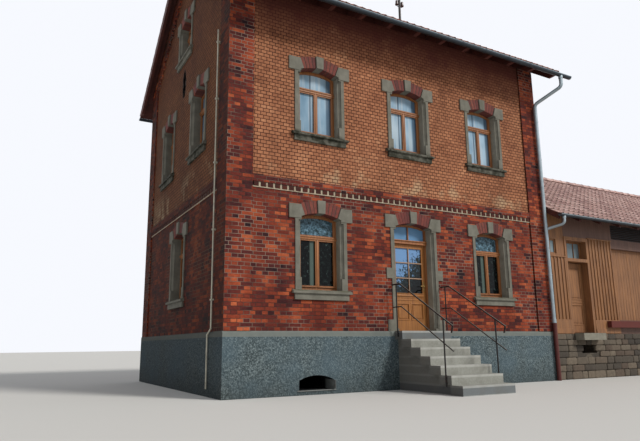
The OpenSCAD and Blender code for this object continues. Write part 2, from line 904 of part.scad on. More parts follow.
// Half of a door hinge: a barrel on the axis with its leaf of sheet metal
module knuckle(side) {
    translate([0, 8, 0]) cylinder(h = 45, r = 8);
    translate([side > 0 ? 3 : -43, 0, 0]) cube([40, 3, 45]);
    translate([side > 0 ? 0 : -4, 0, 0]) cube([4, 8, 45]);
}

function leaf_x() = door_w / 2 - 50 - gap;

// Outlines of the six panes of the door leaf
module leaf_lights_2d() {
    for (s = [0, 1], j = [0, 1, 2]) mirror([s, 0])
        translate([11, 860 + j * (leaf_pane_h + 25)]) square([leaf_x() - leaf_stile_w - 11, leaf_pane_h]);
}

module front_door() {
    a = leaf_x();
    color(oak) translate([axis_shift, 0, 0]) {
        difference() {
            face_x(leaf_y, leaf_y + leaf_t) difference() {
                translate([-a, 8]) square([2 * a, leaf_top_z - 8]);
                leaf_lights_2d();
            }
            for (s = [0, 1]) mirror([s, 0, 0]) translate([30, leaf_y - 5, pt + 250])
                cube([a - leaf_stile_w - 30, 17, 380]);
        }
        for (z = hinge_z) translate([-a - 3, leaf_y + leaf_t, pt + z]) knuckle(1);
    }
}

module front_door_panes() {
    color(glass) translate([axis_shift, 0, 0]) face_x(leaf_y + 22, leaf_y + 28) leaf_lights_2d();
}

module door_handle() {
    color([0.6, 0.55, 0.42]) translate([axis_shift + leaf_x() - 55, 0, pt + 1030]) {
        for (s = [0, 1]) translate([0, s == 0 ? leaf_y : leaf_y + leaf_t, 0]) mirror([0, s, 0]) {
            translate([-20, -8, -110]) cube([40, 8, 220]);
            rotate([90, 0, 0]) cylinder(h = 55, r = 10);
            translate([0, -48, 0]) rotate([0, -90, 0]) cylinder(h = 120, r = 9);
        }
    }
}

module front_steps() {
    x0 = axis_shift + 10 - step_w / 2;
    color(concrete) {
        for (i = [0:step_count - 1]) {
            z = pt - (i + 1) * riser;
            y = -landing_d - i * going;
            translate([x0, y, z])
                cube([step_w, i == 0 ? landing_d - plinth_out : going + step_lap, riser]);
            translate([x0 + under_step_in, y + step_lap, 0])
                cube([step_w - 2 * under_step_in, -y - step_lap - plinth_out, z + 1]);
        }
        translate([axis_shift - door_w / 2 + 1, -plinth_out - 40, pt])
            cube([door_w - 2, plinth_out + 40 + reveal - 30, 5]);
        translate([x0, -landing_d - (step_count - 1) * going, 0])
            cube([step_w, going + step_lap, pt - step_count * riser + 1]);
    }
}

// One side's railing: two rails, two posts and the lugs that fix them to the steps
module railing(x, inward) {
    slope = riser / going;
    y_end = -1900;
    low_post_y = -1640;
    function rail_z(y, h) = y > -landing_d ? h : h + (y + landing_d) * slope;
    translate([x, 0, pt]) {
        tube_path([[0, -pier_out, rail_h], [0, -landing_d, rail_h], [0, y_end, rail_z(y_end, rail_h)],
                   [0, y_end + 40, rail_z(y_end, rail_h) - 130]], rail_r);
        tube_path([[0, -pier_out, rail_h - 490], [0, -340, rail_h - 490],
                   [0, y_end + 10, rail_z(y_end, rail_h - 470)]], rail_r - 4);
        tube_between([0, -180, -120], [0, -180, rail_h], rail_r - 2);
        tube_between([0, low_post_y, -1080], [0, low_post_y, rail_z(low_post_y, rail_h)], rail_r - 2);
        for (f = [[-180, -60], [-180, -110], [low_post_y, -910], [low_post_y, -1010]])
            translate([inward > 0 ? 0 : -20, f[0] - 12, f[1] - 12]) cube([20, 24, 24]);
    }
}

module stair_railings() {
    xc = axis_shift + 10;
    color(iron) {
        railing(xc - step_w / 2 - 20, 1);
        railing(xc + step_w / 2 + 20, -1);
    }
}

// Solids of the goods shed

module shed_base() {
    color(stone) difference() {
        union() {
            translate([shed_x0 + plinth_out + 1, shed_back - 40, 0])
                cube([shed_l - plinth_out + 39, 400, pt - 60]);
            translate([shed_x0 + plinth_out + 1, depth - shed_back - 360, 0])
                cube([shed_l - plinth_out + 39, 400, pt - 60]);
            translate([shed_x1 - 360, shed_back + 300, 0]) cube([400, depth - 2 * shed_back - 600, pt - 60]);
            translate([door2_x0 + 40, shed_back - 330, pt - 225]) cube([side_door_w - 80, 300, 180]);
        }
        translate([5590, shed_back - 500, pt - 570]) cube([620, 1000, 230]);
    }
}

module shed_slope_2d(low, high, reach, top_gap) {
    polygon([[-reach, shed_eave_z - reach * sk + low],
             [mid_y - top_gap, shed_eave_z + (mid_y - top_gap) * sk + low],
             [mid_y - top_gap, shed_eave_z + (mid_y - top_gap) * sk + high],
             [-reach, shed_eave_z - reach * sk + high]]);
}

module shed_wall_x(x0, x1, z0, z1) {
    translate([x0, shed_back, pt + z0]) cube([x1 - x0, shed_wall_t, z1 - z0]);
}

// Boarded panels left of the side door, between the doors, and right of the goods doors
module shed_front_panels() {
    color(boards) {
        difference() {
            union() {
                shed_wall_x(shed_x0 + plinth_out + 2, door2_x0, -60, shed_eave_z);
                shed_wall_x(shed_x0 + pier_out + 1, door2_x0, 1, shed_eave_z);
            }
            translate([shed_x0 + 60, -500, pt + 2040]) cube([500, 1000, 500]);
        }
        shed_wall_x(door2_x1, goods_x0, -60, panel_top_z - 1);
        shed_wall_x(goods_x1, shed_x1, -60, panel_top_z - 1);
    }
}

module shed_front_top() {
    color(boards) {
        difference() {
            shed_wall_x(door2_x0 + 1, shed_x1, panel_top_z, shed_eave_z);
            translate([goods_x0 + 60, -500, pt + 2680]) cube([goods_x1 - goods_x0 - 120, 1000, 440]);
        }
        shed_wall_x(goods_x0 + 1, goods_x1 - 1, panel_top_z - 200, panel_top_z);
        shed_wall_x(goods_x0 + 1, goods_x1 - 1, -60, skirt_z);
    }
}

module shed_rear_walls() {
    top = shed_eave_z + (shed_rafter_h - fit) / sc;
    color(boards) {
        translate([shed_x0 + plinth_out + 2, depth - shed_back - shed_wall_t, pt - 60])
            cube([shed_l - plinth_out - 2, shed_wall_t, shed_eave_z + 60]);
        translate([shed_x0 + pier_out + 1, depth - shed_back - shed_wall_t, pt + 1])
            cube([100, shed_wall_t, shed_eave_z - 1]);
        difference() {
            translate([shed_x1 - shed_wall_t, shed_back + shed_wall_t, pt - 60])
                cube([shed_wall_t, depth - 2 * (shed_back + shed_wall_t), 6000]);
            translate([shed_x1 - 500, 0, pt]) rotate([90, 0, 90]) linear_extrude(1000)
                polygon([[-3000, top - 3000 * sk], [mid_y, top + mid_y * sk],
                         [depth + 3000, top - 3000 * sk], [depth + 3000, 20000], [-3000, 20000]]);
        }
    }
}

module shed_rafters() {
    low = shed_rafter_h / sc;
    color(dark_wood) both_slopes() {
        for (i = [0:shed_bays]) translate([shed_x0 + 60 + i * (shed_l - 260) / shed_bays, 0, 0])
            face_left(0, 80) shed_slope_2d(0, low, shed_eave_out - 40, 1);
        face_left(shed_x1 + 120, shed_x1 + 200) shed_slope_2d(0, low, shed_eave_out - 40, 1);
        face_left(shed_x1 + 201, shed_x1 + 223) shed_slope_2d(-60, 1.5 * low, shed_eave_out - 10, 0.5);
        clear_of_piers() face_left(shed_x0 + 2, shed_x1 + 200)
            shed_slope_2d(low, (shed_rafter_h + board_t - fit) / sc, shed_eave_out - 35, 1);
    }
}

// Keeps the shed roof off the corner piers of the house
module clear_of_piers() {
    difference() {
        children();
        translate([shed_x0 - 100, -1000, 0]) cube([101 + pier_out, 1001 + pier_w, 8000]);
    }
}

module shed_roof_tiles() {
    color(clay) both_slopes() clear_of_piers() face_left(shed_x0 + 2, shed_x1 + 200)
        shed_slope_2d((shed_rafter_h + board_t) / sc, shed_roof_h / sc, shed_eave_out, 1);
}

// Sheet metal angle that seals the shed roof against the gable
module flashing() {
    foot = (shed_roof_h + 1) / sc;
    color(zinc) both_slopes() {
        face_left(xr + 1, xr + 6) intersection() {
            shed_slope_2d(foot, foot + 150, 0, 1);
            translate([pier_w + 2, 0]) square([mid_y - pier_w, 9000]);
        }
        face_left(xr + 1, xr + 120) intersection() {
            shed_slope_2d(foot, foot + 6, 0, 130);
            translate([pier_w + 2, 0]) square([mid_y - pier_w, 9000]);
        }
    }
}

module shed_door() {
    color(boards) {
        difference() {
            translate([door2_x0 + post_w + gap, shed_back + 200, pt - 20])
                cube([side_door_w - 2 * post_w - 2 * gap, 45, 1915]);
            for (z = [[180, 560], [880, 900]]) translate([door2_x0 + 190, shed_back + 190, pt + z[0]])
                cube([side_door_w - 380, 22, z[1]]);
        }
        for (z = hinge_z) translate([door2_x0 + post_w + 3, shed_back + 245, pt + z]) knuckle(1);
    }
}

module shed_frames() {
    color(boards) {
        translate([door2_x0, shed_back - 20, pt - 60]) difference() {
            cube([side_door_w, 265, panel_top_z + 60]);
            translate([post_w, -1, 20]) cube([side_door_w - 2 * post_w, 300, 1945 + gap]);
            translate([post_w, -1, 2060]) cube([side_door_w - 2 * post_w, 300, 500]);
        }
        for (z = hinge_z) translate([door2_x0 + post_w + 3, shed_back + 245, pt + z + 47]) knuckle(-1);
        translate([shed_x0 + 60, shed_back - 10, pt + 2040]) difference() {
            cube([500, 90, 500]);
            translate([50, -1, 50]) cube([400, 100, 400]);
        }
    }
}

module shed_lattice() {
    color(dark_wood) for (i = [0:7]) translate([goods_x0 + 60, shed_back + 30, pt + 2690 + i * 54])
        cube([goods_x1 - goods_x0 - 120, 25, 34]);
}

module goods_leaf(x0, x1) {
    translate([x0, shed_back + shed_wall_t + 10, pt + 300]) cube([x1 - x0, 45, 2140]);
    for (x = [x0 + 150, x1 - 210]) translate([x, shed_back + shed_wall_t + 22, pt + 2435])
        cube([60, 10, 90]);
}

module goods_leaf_left() {
    color(boards) goods_leaf(goods_x0 - 30, (goods_x0 + goods_x1) / 2 - gap / 2);
}

module goods_leaf_right() {
    color(boards) goods_leaf((goods_x0 + goods_x1) / 2 + gap / 2, goods_x1 + 30);
}

module goods_rail() {
    color(iron) translate([goods_x0 - 900, shed_back + shed_wall_t + 1, pt + 2540])
        cube([goods_x1 - goods_x0 + 1800, 50, 50]);
}

module fender_beam() {
    color([0.3, 0.12, 0.1]) translate([goods_x0 - 570, shed_back - 160, pt + 110]) cube([2900, 159, 180]);
}

plinth();
front_wall_lower();
front_wall_upper();
back_wall_lower();
back_wall_upper();
gable_left_lower();
gable_left_upper();
gable_right();
corner_piers();
brick_band();
rake_friezes();
floors();
rafters();
roof_boards();
roof_tiles();
ridge_tiles();
gutters();
gutter_hooks();
downpipes();
standpipe();
roof_mast();
conductor();
window_sills();
window_jambs();
impost_blocks();
keystones();
brick_arches();
window_frames();
window_panes();
door_jambs();
door_frame();
front_door();
front_door_panes();
door_handle();
front_steps();
stair_railings();
shed_base();
shed_floor();
shed_front_panels();
shed_front_top();
shed_rear_walls();
shed_rafters();
shed_roof_tiles();
flashing();
shed_door();
shed_frames();
shed_lattice();
goods_leaf_left();
goods_leaf_right();
goods_rail();
fender_beam();
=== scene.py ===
import math
import random

import bpy
from mathutils import Matrix, Vector


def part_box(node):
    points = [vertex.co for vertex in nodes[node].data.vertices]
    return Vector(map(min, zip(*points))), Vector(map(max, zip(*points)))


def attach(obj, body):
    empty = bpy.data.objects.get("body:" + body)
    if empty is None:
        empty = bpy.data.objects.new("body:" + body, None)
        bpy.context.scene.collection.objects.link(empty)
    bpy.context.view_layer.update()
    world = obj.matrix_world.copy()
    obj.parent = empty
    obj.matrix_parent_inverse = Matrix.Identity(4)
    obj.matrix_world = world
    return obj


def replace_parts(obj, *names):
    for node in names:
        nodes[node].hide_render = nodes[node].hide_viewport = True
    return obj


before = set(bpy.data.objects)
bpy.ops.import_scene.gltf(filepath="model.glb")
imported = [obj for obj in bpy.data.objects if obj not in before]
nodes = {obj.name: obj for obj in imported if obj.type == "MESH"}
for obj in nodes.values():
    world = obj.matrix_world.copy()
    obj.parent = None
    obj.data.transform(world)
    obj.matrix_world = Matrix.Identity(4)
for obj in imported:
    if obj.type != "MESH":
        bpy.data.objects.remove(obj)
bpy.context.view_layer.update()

# Main places of the house, in metres. The plinth's top is the level of the ground floor
plinth_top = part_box("plinth")[1].z
pier_proud = 0.035
front_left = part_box("corner_piers")[0].x + pier_proud
front_right = -front_left
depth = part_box("corner_piers")[1].y - pier_proud
wall_middle = depth / 2
riser = 1.22 / 7
roof_pitch = math.radians(37)
verge = front_left - 0.29
main_reach = 0.74

# Bricks of the old large format, and the corbelled band between the storeys
brick_step = 0.26
course = 0.077
joint = 0.006
band_foot = 2.828
band_height = 0.275

# The goods shed on the right gable
shed_left = front_right
shed_right = shed_left + 10.5
shed_face = 0.06
shed_pitch = math.radians(32.6)
shed_reach = 0.5
board_pitch = 0.135

# Roof tiles: cover width and the distance between rows
main_tile = (0.2065, 0.3255)
shed_tile = (0.205, 0.3324)

# Windows: axes along each wall, half the frame's width, jamb heights, and sills above the plinth
front_axes = (-2.378, 0.05, 2.478)
door_axis = front_axes[1]
gable_axes = (wall_middle - 1.34, wall_middle + 1.34)
half_window = 0.475
lower_jamb, upper_jamb, attic_jamb = 1.468, 1.4, 0.9
lower_sill, upper_sill, attic_sill = 0.822, 4.175, 7.15


def tone(red, green, blue):
    """A paint colour from 0 to 255, as the eye sees it, made linear for the shaders."""
    return tuple(((c / 255 + 0.055) / 1.055) ** 2.4 if c > 10 else c / 3294 for c in (red, green, blue))


def stops(*colours):
    """Colour stops spread evenly from 0 to 1."""
    return [(i / (len(colours) - 1), tone(*colour)) for i, colour in enumerate(colours)]


class Finish:
    """One surface finish. Its patterns are laid out in metres on the object."""

    def __init__(self, name, roughness, metallic=0.0, specular=0.4):
        self.material = bpy.data.materials.new(name)
        self.material.use_nodes = True
        self.tree = self.material.node_tree
        self.shader = self.tree.nodes["Principled BSDF"]
        self.shader.inputs["Roughness"].default_value = roughness
        self.shader.inputs["Metallic"].default_value = metallic
        self.shader.inputs["Specular IOR Level"].default_value = specular
        place = self.add("ShaderNodeTexCoord")
        self.place = place.outputs["Object"]
        self.normal = self.split(place.outputs["Normal"])
        self.x, self.y, self.z = self.split(self.place)
        self.skin = None
        self.relief = None

    def add(self, kind, **settings):
        node = self.tree.nodes.new(kind)
        for name, value in settings.items():
            setattr(node, name, value)
        return node

    def put(self, socket, value):
        if isinstance(value, bpy.types.NodeSocket):
            self.tree.links.new(value, socket)
        elif socket.type == "RGBA":
            socket.default_value = (*value, 1.0)
        else:
            socket.default_value = value

    def fill(self, sockets, values):
        for socket, value in zip(sockets, values):
            self.put(socket, value)

    def math(self, operation, *values):
        node = self.add("ShaderNodeMath", operation=operation)
        self.fill(node.inputs, values)
        return node.outputs[0]

    def plus(self, first, second):
        return self.math("ADD", first, second)

    def minus(self, first, second):
        return self.math("SUBTRACT", first, second)

    def times(self, first, second):
        return self.math("MULTIPLY", first, second)

    def over(self, first, second):
        return self.math("DIVIDE", first, second)

    def distance(self, value, middle):
        return self.math("ABSOLUTE", self.minus(value, middle))

    def blend(self, factor, first, second):
        """A number that goes from first to second with the factor."""
        node = self.add("ShaderNodeMix", data_type="FLOAT")
        self.fill((node.inputs[0], node.inputs[2], node.inputs[3]), (factor, first, second))
        return node.outputs[0]

    def mix(self, factor, first, second, way="MIX"):
        """A colour that goes from first to second with the factor."""
        node = self.add("ShaderNodeMix", data_type="RGBA", blend_type=way)
        self.fill((node.inputs[0], node.inputs[6], node.inputs[7]), (factor, first, second))
        return node.outputs[2]

    def tinted(self, colour, tint):
        """The colour multiplied by another one."""
        return self.mix(1.0, colour, tint, "MULTIPLY")

    def shaded(self, colour, amount):
        """The colour multiplied by a number."""
        return self.tinted(colour, self.join(amount, amount, amount))

    def split(self, vector):
        node = self.add("ShaderNodeSeparateXYZ")
        self.put(node.inputs[0], vector)
        return node.outputs[0], node.outputs[1], node.outputs[2]

    def join(self, x, y, z=0.0):
        node = self.add("ShaderNodeCombineXYZ")
        self.fill(node.inputs, (x, y, z))
        return node.outputs[0]

    def noise(self, scale, detail=3.0, stretch=(1, 1, 1), roughness=0.55):
        """Soft random mottling. A stretch below 1 draws it out along that axis."""
        mapping = self.add("ShaderNodeMapping")
        self.put(mapping.inputs["Vector"], self.place)
        mapping.inputs["Scale"].default_value = stretch
        node = self.add("ShaderNodeTexNoise")
        self.put(node.inputs["Vector"], mapping.outputs[0])
        node.inputs["Scale"].default_value = scale
        node.inputs["Detail"].default_value = detail
        node.inputs["Roughness"].default_value = roughness
        return node.outputs[0]

    def range(self, value, low, high, new_low=0.0, new_high=1.0):
        """Goes evenly from new_low, where the value is low, to new_high, where it is high."""
        node = self.add("ShaderNodeMapRange", clamp=True)
        self.fill(node.inputs, (value, low, high, new_low, new_high))
        return node.outputs[0]

    def between(self, value, start, full, fading, gone):
        """0 up to start, 1 from full to fading, and 0 again from gone."""
        return self.times(self.range(value, start, full), self.range(value, gone, fading))

    def patches(self, scale, detail, low, high, new_low=0.0, new_high=1.0, stretch=(1, 1, 1)):
        """Mottling sharpened to patches between two of its values."""
        return self.range(self.noise(scale, detail, stretch), low, high, new_low, new_high)

    def random_per(self, first, second=0.0):
        """A random number from 0 to 1 for each whole step of the numbers given."""
        node = self.add("ShaderNodeTexWhiteNoise", noise_dimensions="3D")
        steps = [self.math("FLOOR", value) for value in (first, second)]
        self.put(node.inputs["Vector"], self.join(*steps))
        return node.outputs["Value"]

    def ramp(self, factor, stops):
        node = self.add("ShaderNodeValToRGB")
        elements = node.color_ramp.elements
        while len(elements) < len(stops):
            elements.new(0.5)
        for element, (position, colour) in zip(elements, stops):
            element.position = position
            element.color = (*colour, 1.0)
        self.put(node.inputs[0], factor)
        return node.outputs[0]

    def own_tint(self):
        """The random number that each copy of a piece carries."""
        return self.add("ShaderNodeAttribute", attribute_name="tint").outputs["Fac"]

    def facing(self, axis):
        """1 on faces that look along the axis, either way, and 0 on the others."""
        return self.math("GREATER_THAN", self.math("ABSOLUTE", self.normal[axis]), 0.7)

    def facing_up(self):
        return self.range(self.normal[2], 0.3, 0.8)

    def wall_plane(self):
        """Distances along a wall and up it, whichever way the wall runs."""
        along = self.blend(self.facing(0), self.x, self.y)
        return along, self.blend(self.facing(2), self.minus(self.z, plinth_top), self.y)

    def bump(self, height, depth):
        node = self.add("ShaderNodeBump")
        node.inputs["Distance"].default_value = depth
        self.put(node.inputs["Height"], height)
        if self.skin is not None:
            self.put(node.inputs["Normal"], self.skin)
        self.skin = node.outputs[0]
        self.put(self.shader.inputs["Normal"], self.skin)

    def grain(self, scale, detail, depth):
        """Fine unevenness of the surface."""
        self.bump(self.noise(scale, detail), depth)

    def paint(self, colour):
        self.put(self.shader.inputs["Base Color"], colour)
        return self.material


def brickwork(finish, tints, mortar, length, squash, gap, spread):
    """The colour of bricks laid in courses. A squash of 0.5 makes every second course headers."""
    along, up = finish.wall_plane()
    wobble = finish.times(finish.noise(9, 2), 0.006)
    bond = finish.add("ShaderNodeTexBrick", offset=0.5, offset_frequency=2, squash=squash, squash_frequency=2)
    settings = {"Vector": finish.join(finish.plus(along, wobble), finish.plus(up, wobble)),
                "Color1": (0, 0, 0), "Color2": (1, 1, 1), "Mortar": (0.5, 0.5, 0.5), "Scale": 1.0,
                "Mortar Size": gap, "Mortar Smooth": 0.3, "Bias": 0.0,
                "Brick Width": length, "Row Height": course}
    for socket, value in settings.items():
        finish.put(bond.inputs[socket], value)
    firing = finish.patches(1.3, 5, 0.3, 0.7, -0.24, 0.24)
    own = finish.range(bond.outputs["Color"], 0, 1, 0.5 - spread, 0.5 + spread)
    brick = finish.ramp(finish.plus(own, firing), tints)
    brick = finish.shaded(brick, finish.patches(38, 4, 0.25, 0.75, 0.7, 1.24, (0.5, 0.5, 1)))
    fresh = finish.patches(0.9, 4, 0.44, 0.6)
    wall = finish.mix(bond.outputs["Fac"], brick, finish.mix(fresh, tone(*mortar[0]), tone(*mortar[1])))
    # Painted shade: faces that look along x, the gables and the piers' sides, are darkened.
    painted_gable_shade = finish.mix(finish.facing(0), (1.0, 1.0, 1.0), (0.38, 0.34, 0.26))
    grime = finish.patches(1.1, 4, 0.35, 0.7, 1.1, 0.82, (1, 1, 0.35))
    finish.relief = finish.minus(1.0, bond.outputs["Fac"])
    return finish.shaded(finish.tinted(wall, painted_gable_shade), grime)


def red_courses(finish):
    tints = stops((42, 26, 30), (82, 38, 36), (106, 46, 37), (128, 56, 39), (150, 70, 45), (180, 94, 60))
    return brickwork(finish, tints, ((68, 50, 45), (146, 128, 114)), brick_step, 0.5, joint, 0.4)


def yellow_courses(finish):
    """Headers only, darker under the eaves from damp and painted eave shade, and with pale bloom low on the
    wall.
    """
    tints = stops((124, 78, 55), (156, 102, 73), (176, 119, 86), (198, 144, 108))
    wall = brickwork(finish, tints, ((58, 29, 24), (80, 44, 36)), brick_step / 2, 1.0, joint + 0.002, 0.2)
    ragged = finish.plus(finish.z, finish.patches(1.6, 4, 0, 1, -0.5, 0.5))
    # Darker towards the eaves: partly damp in the bricks, partly painted shade of the eaves, mostly on the
    # long walls.
    damp_and_eave_shade = finish.range(ragged, plinth_top + 6.1, plinth_top + 7.0, 0, 0.88)
    damp_and_eave_shade = finish.times(damp_and_eave_shade, finish.blend(finish.facing(0), 1.0, 0.1))
    wall = finish.mix(damp_and_eave_shade, wall, tone(92, 47, 43))
    bloom = finish.times(finish.patches(1.9, 5, 0.54, 0.66, 0, 0.42),
                         finish.range(finish.z, plinth_top + 3.9, plinth_top + 3.3))
    return finish.mix(finish.times(bloom, finish.relief), wall, tone(206, 186, 150))


def laid(finish, wall):
    """Bricks stand a little proud of their joints and have a rough skin of their own."""
    finish.bump(finish.relief, 0.006)
    finish.grain(70, 3, 0.003)
    return finish.paint(wall)


def red_bricks():
    finish = Finish("red brick", 0.84, specular=0.15)
    return laid(finish, red_courses(finish))


def band_bricks():
    """The corbelled band: its row of small blocks is darkened nearly black between the pale bars, as painted
    shade.
    """
    finish = Finish("band brick", 0.84, specular=0.15)
    level = finish.minus(finish.z, plinth_top + band_foot)
    row = finish.between(level, 0.028, 0.03, 0.125, 0.127)
    # Painted shade on the dentil row.
    return laid(finish, finish.mix(finish.times(row, 0.8), red_courses(finish), tone(58, 34, 30)))


def yellow_bricks():
    """Upper walls, red below the top of the band, with painted shade in the slot under the gable window and
    round it.
    """
    finish = Finish("yellow brick", 0.84, specular=0.15)
    yellow = yellow_courses(finish)
    relief = finish.relief
    below = finish.math("LESS_THAN", finish.z, plinth_top + band_foot + band_height)
    wall = finish.mix(below, yellow, red_courses(finish))
    finish.relief = finish.blend(below, relief, finish.relief)
    slot_level, half_slot = plinth_top + 6.36, 0.36
    off_middle = finish.minus(finish.y, wall_middle)
    off_level = finish.minus(finish.z, slot_level)
    near = finish.times(finish.math("COMPARE", off_middle, 0.0, 0.14),
                        finish.math("COMPARE", off_level, 0.0, half_slot))
    # Painted shade on the inner faces of the slot.
    inside = finish.times(near, finish.minus(1.0, finish.facing(0)))
    across, upward = finish.over(off_middle, 0.2), finish.over(off_level, 0.44)
    from_slot = finish.plus(finish.times(across, across), finish.times(upward, upward))
    # Painted shade carried out from the slot onto the wall round it, a ragged dark patch that makes the slot
    # look wider.
    soot = finish.range(finish.plus(from_slot, finish.noise(14, 4)), 1.45, 1.1, 0, 0.85)
    return laid(finish, finish.mix(finish.math("MAXIMUM", inside, soot), wall, tone(16, 13, 12)))


def cut_stone():
    """Grey sandstone: rain streaks, moss on top, soot on the upper sills, and painted light on the reveals.
    """
    finish = Finish("grey sandstone", 0.86, specular=0.2)
    face = finish.ramp(finish.noise(5, 5), stops((88, 86, 79), (118, 116, 106), (143, 140, 129)))
    rain = finish.patches(4, 4, 0.5, 0.72, stretch=(1, 1, 0.2))
    face = finish.mix(finish.times(rain, 0.45), face, tone(84, 84, 72))
    moss = finish.times(finish.facing_up(), finish.patches(9, 3, 0.35, 0.6))
    face = finish.mix(finish.times(moss, 0.6), face, tone(82, 84, 62))
    sill = plinth_top + upper_sill
    on_sill = finish.between(finish.z, sill - 0.275, sill - 0.215, sill - 0.015, sill + 0.065)
    soot = finish.times(on_sill, finish.patches(7, 5, 0.38, 0.6, 0.3, 0.95))
    face = finish.mix(soot, face, tone(42, 43, 33))
    # Painted light: the side faces of the reveals are brightened.
    painted_reveal_light = finish.between(finish.y, 0.0, 0.02, 0.28, 0.3)
    face = finish.shaded(face, finish.blend(finish.times(painted_reveal_light, finish.facing(0)), 1.0, 1.6))
    finish.grain(120, 4, 0.003)
    finish.grain(14, 4, 0.004)
    return finish.paint(face)


def roughcast():
    """The plinth's coarse coat, its smooth ledge, splashes at its foot, painted shade on its faces along x,
    and painted light and shade inside the vent.
    """
    finish = Finish("grey roughcast", 0.92, specular=0.12)
    grit = finish.noise(34, 5, roughness=0.75)
    face = finish.ramp(grit, [(0.34, tone(42, 48, 48)), (0.5, tone(96, 103, 101)),
                              (0.66, tone(160, 166, 161))])
    face = finish.mix(finish.times(finish.patches(1.2, 4, 0.35, 0.65), 0.5), face, tone(100, 115, 121))
    splash_line = finish.plus(finish.z, finish.patches(3, 4, 0, 1, -0.2, 0.2))
    face = finish.mix(finish.range(splash_line, 0.5, 0.0, 0, 0.45), face, tone(62, 62, 56))
    ledge = finish.range(finish.z, plinth_top - 0.115, plinth_top - 0.105)
    face = finish.mix(ledge, face, finish.mix(finish.noise(8, 4), tone(142, 140, 128), tone(120, 120, 112)))
    # Bluer on the front faces, and darker on the faces that look along x as painted shade.
    face = finish.tinted(face, finish.mix(finish.facing(0), (0.78, 0.88, 0.97), (0.44, 0.48, 0.52)))
    vent_middle, vent_top = -2.545, 0.48
    vent = finish.times(finish.range(finish.y, -0.036, -0.03),
                        finish.range(finish.distance(finish.x, vent_middle), 0.5, 0.48))
    vent = finish.times(vent, finish.range(finish.z, vent_top + 0.02, vent_top))
    # Painted light and shade inside the vent: side faces lighter as if lit, top and floor dark, nearly black
    # deep inside.
    inner = finish.mix(finish.facing(0), tone(34, 36, 36), tone(132, 136, 134))
    inner = finish.mix(finish.range(finish.y, 0.24, 0.34), inner, tone(16, 16, 16))
    finish.bump(finish.times(grit, finish.minus(1.0, ledge)), 0.016)
    return finish.paint(finish.mix(vent, face, inner))


def step_concrete():
    """Pale steps with a painted highlight on the nosings, darker at the lowest and the highest block, and
    painted shade on the sides.
    """
    finish = Finish("pale cast stone", 0.85)
    face = finish.ramp(finish.noise(26, 5), stops((150, 147, 132), (170, 167, 152), (188, 184, 170)))
    lowest, highest = plinth_top - 6 * riser, plinth_top - riser
    darker = finish.plus(finish.range(finish.z, lowest - 0.005, lowest - 0.006),
                         finish.range(finish.z, highest + 0.001, highest + 0.002))
    face = finish.mix(finish.times(darker, 0.75), face, tone(104, 110, 112))
    # Painted highlight along the top edge of each riser.
    rise = finish.math("FRACT", finish.over(finish.minus(finish.z, 0.01), riser))
    face = finish.mix(finish.range(rise, 0.74, 0.8, 0, 0.6), face, tone(214, 210, 196))
    # Painted shade on the side faces.
    face = finish.mix(finish.times(finish.facing(0), 0.7), face, tone(84, 80, 74))
    face = finish.mix(finish.patches(3.5, 4, 0.45, 0.7, 0, 0.4), face, tone(118, 112, 98))
    finish.grain(90, 3, 0.002)
    return finish.paint(finish.tinted(face, (0.78, 0.82, 0.9)))


def arch_brick_clay():
    """Hard fired arch bricks, each with its own tint."""
    finish = Finish("arch brick", 0.8)
    face = finish.ramp(finish.own_tint(), stops((86, 42, 40), (108, 50, 44), (122, 58, 48), (128, 68, 54)))
    face = finish.mix(finish.patches(12, 5, 0.4, 0.7, 0, 0.6), face, tone(74, 44, 42))
    finish.grain(90, 3, 0.002)
    return finish.paint(face)


def limewash():
    finish = Finish("cream limewash", 0.9)
    finish.grain(80, 3, 0.001)
    return finish.paint(finish.mix(finish.patches(14, 5, 0.4, 0.7), tone(182, 170, 148), tone(134, 116, 100)))


def lime_mortar():
    finish = Finish("lime mortar", 0.92)
    finish.grain(90, 4, 0.003)
    return finish.paint(finish.mix(finish.noise(20, 4), tone(92, 72, 64), tone(66, 50, 46)))


def loose_stone():
    """Rough quarry stones, each with its own tint."""
    finish = Finish("quarry stone", 0.9)
    face = finish.ramp(finish.own_tint(), stops((60, 54, 48), (86, 78, 68), (112, 101, 87), (82, 69, 59)))
    finish.grain(40, 5, 0.006)
    return finish.paint(finish.shaded(face, finish.patches(18, 5, 0.3, 0.7, 0.78, 1.14)))


def packed_stone():
    """The base behind the loose stones, and the plain slab under the shed's side door."""
    finish = Finish("rubble stone", 0.9)
    pattern = finish.add("ShaderNodeTexVoronoi", feature="F1")
    along, up = finish.wall_plane()
    finish.put(pattern.inputs["Vector"], finish.join(finish.times(along, 3.2), finish.times(up, 6.0)))
    pattern.inputs["Scale"].default_value = 1.0
    own = finish.random_per(finish.times(finish.split(pattern.outputs["Color"])[0], 40))
    face = finish.ramp(own, stops((66, 60, 53), (84, 76, 66), (98, 90, 78), (78, 68, 60)))
    face = finish.shaded(face, finish.patches(30, 4, 0.3, 0.7, 0.8, 1.15))
    slab = finish.times(finish.range(finish.z, plinth_top - 0.26, plinth_top - 0.25),
                        finish.range(finish.y, 0.0, -0.01))
    face = finish.mix(slab, face, finish.mix(finish.noise(6, 5), tone(150, 146, 132), tone(104, 100, 90)))
    finish.grain(22, 5, 0.012)
    return finish.paint(face)


def wood(name, light, dark, grain_along, roughness=0.6, board=0.0):
    """Planed wood with its grain along one axis and, where asked, a tint of its own on each board."""
    finish = Finish(name, roughness)
    stretch = [22.0, 22.0, 22.0]
    stretch[grain_along] = 1.2
    grain = finish.noise(1.6, 5, stretch, 0.6)
    face = finish.ramp(grain, [(0.3, tone(*dark)), (0.62, tone(*light))])
    if board:
        upright = finish.blend(finish.facing(0), finish.x, finish.y)
        own = finish.random_per(finish.over((finish.y, finish.z, upright)[grain_along], board))
        face = finish.mix(finish.range(own, 0, 1, 0, 0.35), face, tone(*dark))
    weather = finish.patches(1.4, 4, 0.4, 0.75, 0, 0.25)
    finish.bump(grain, 0.0015)
    return finish.paint(finish.mix(weather, face, tone(*[c * 0.7 for c in dark])))


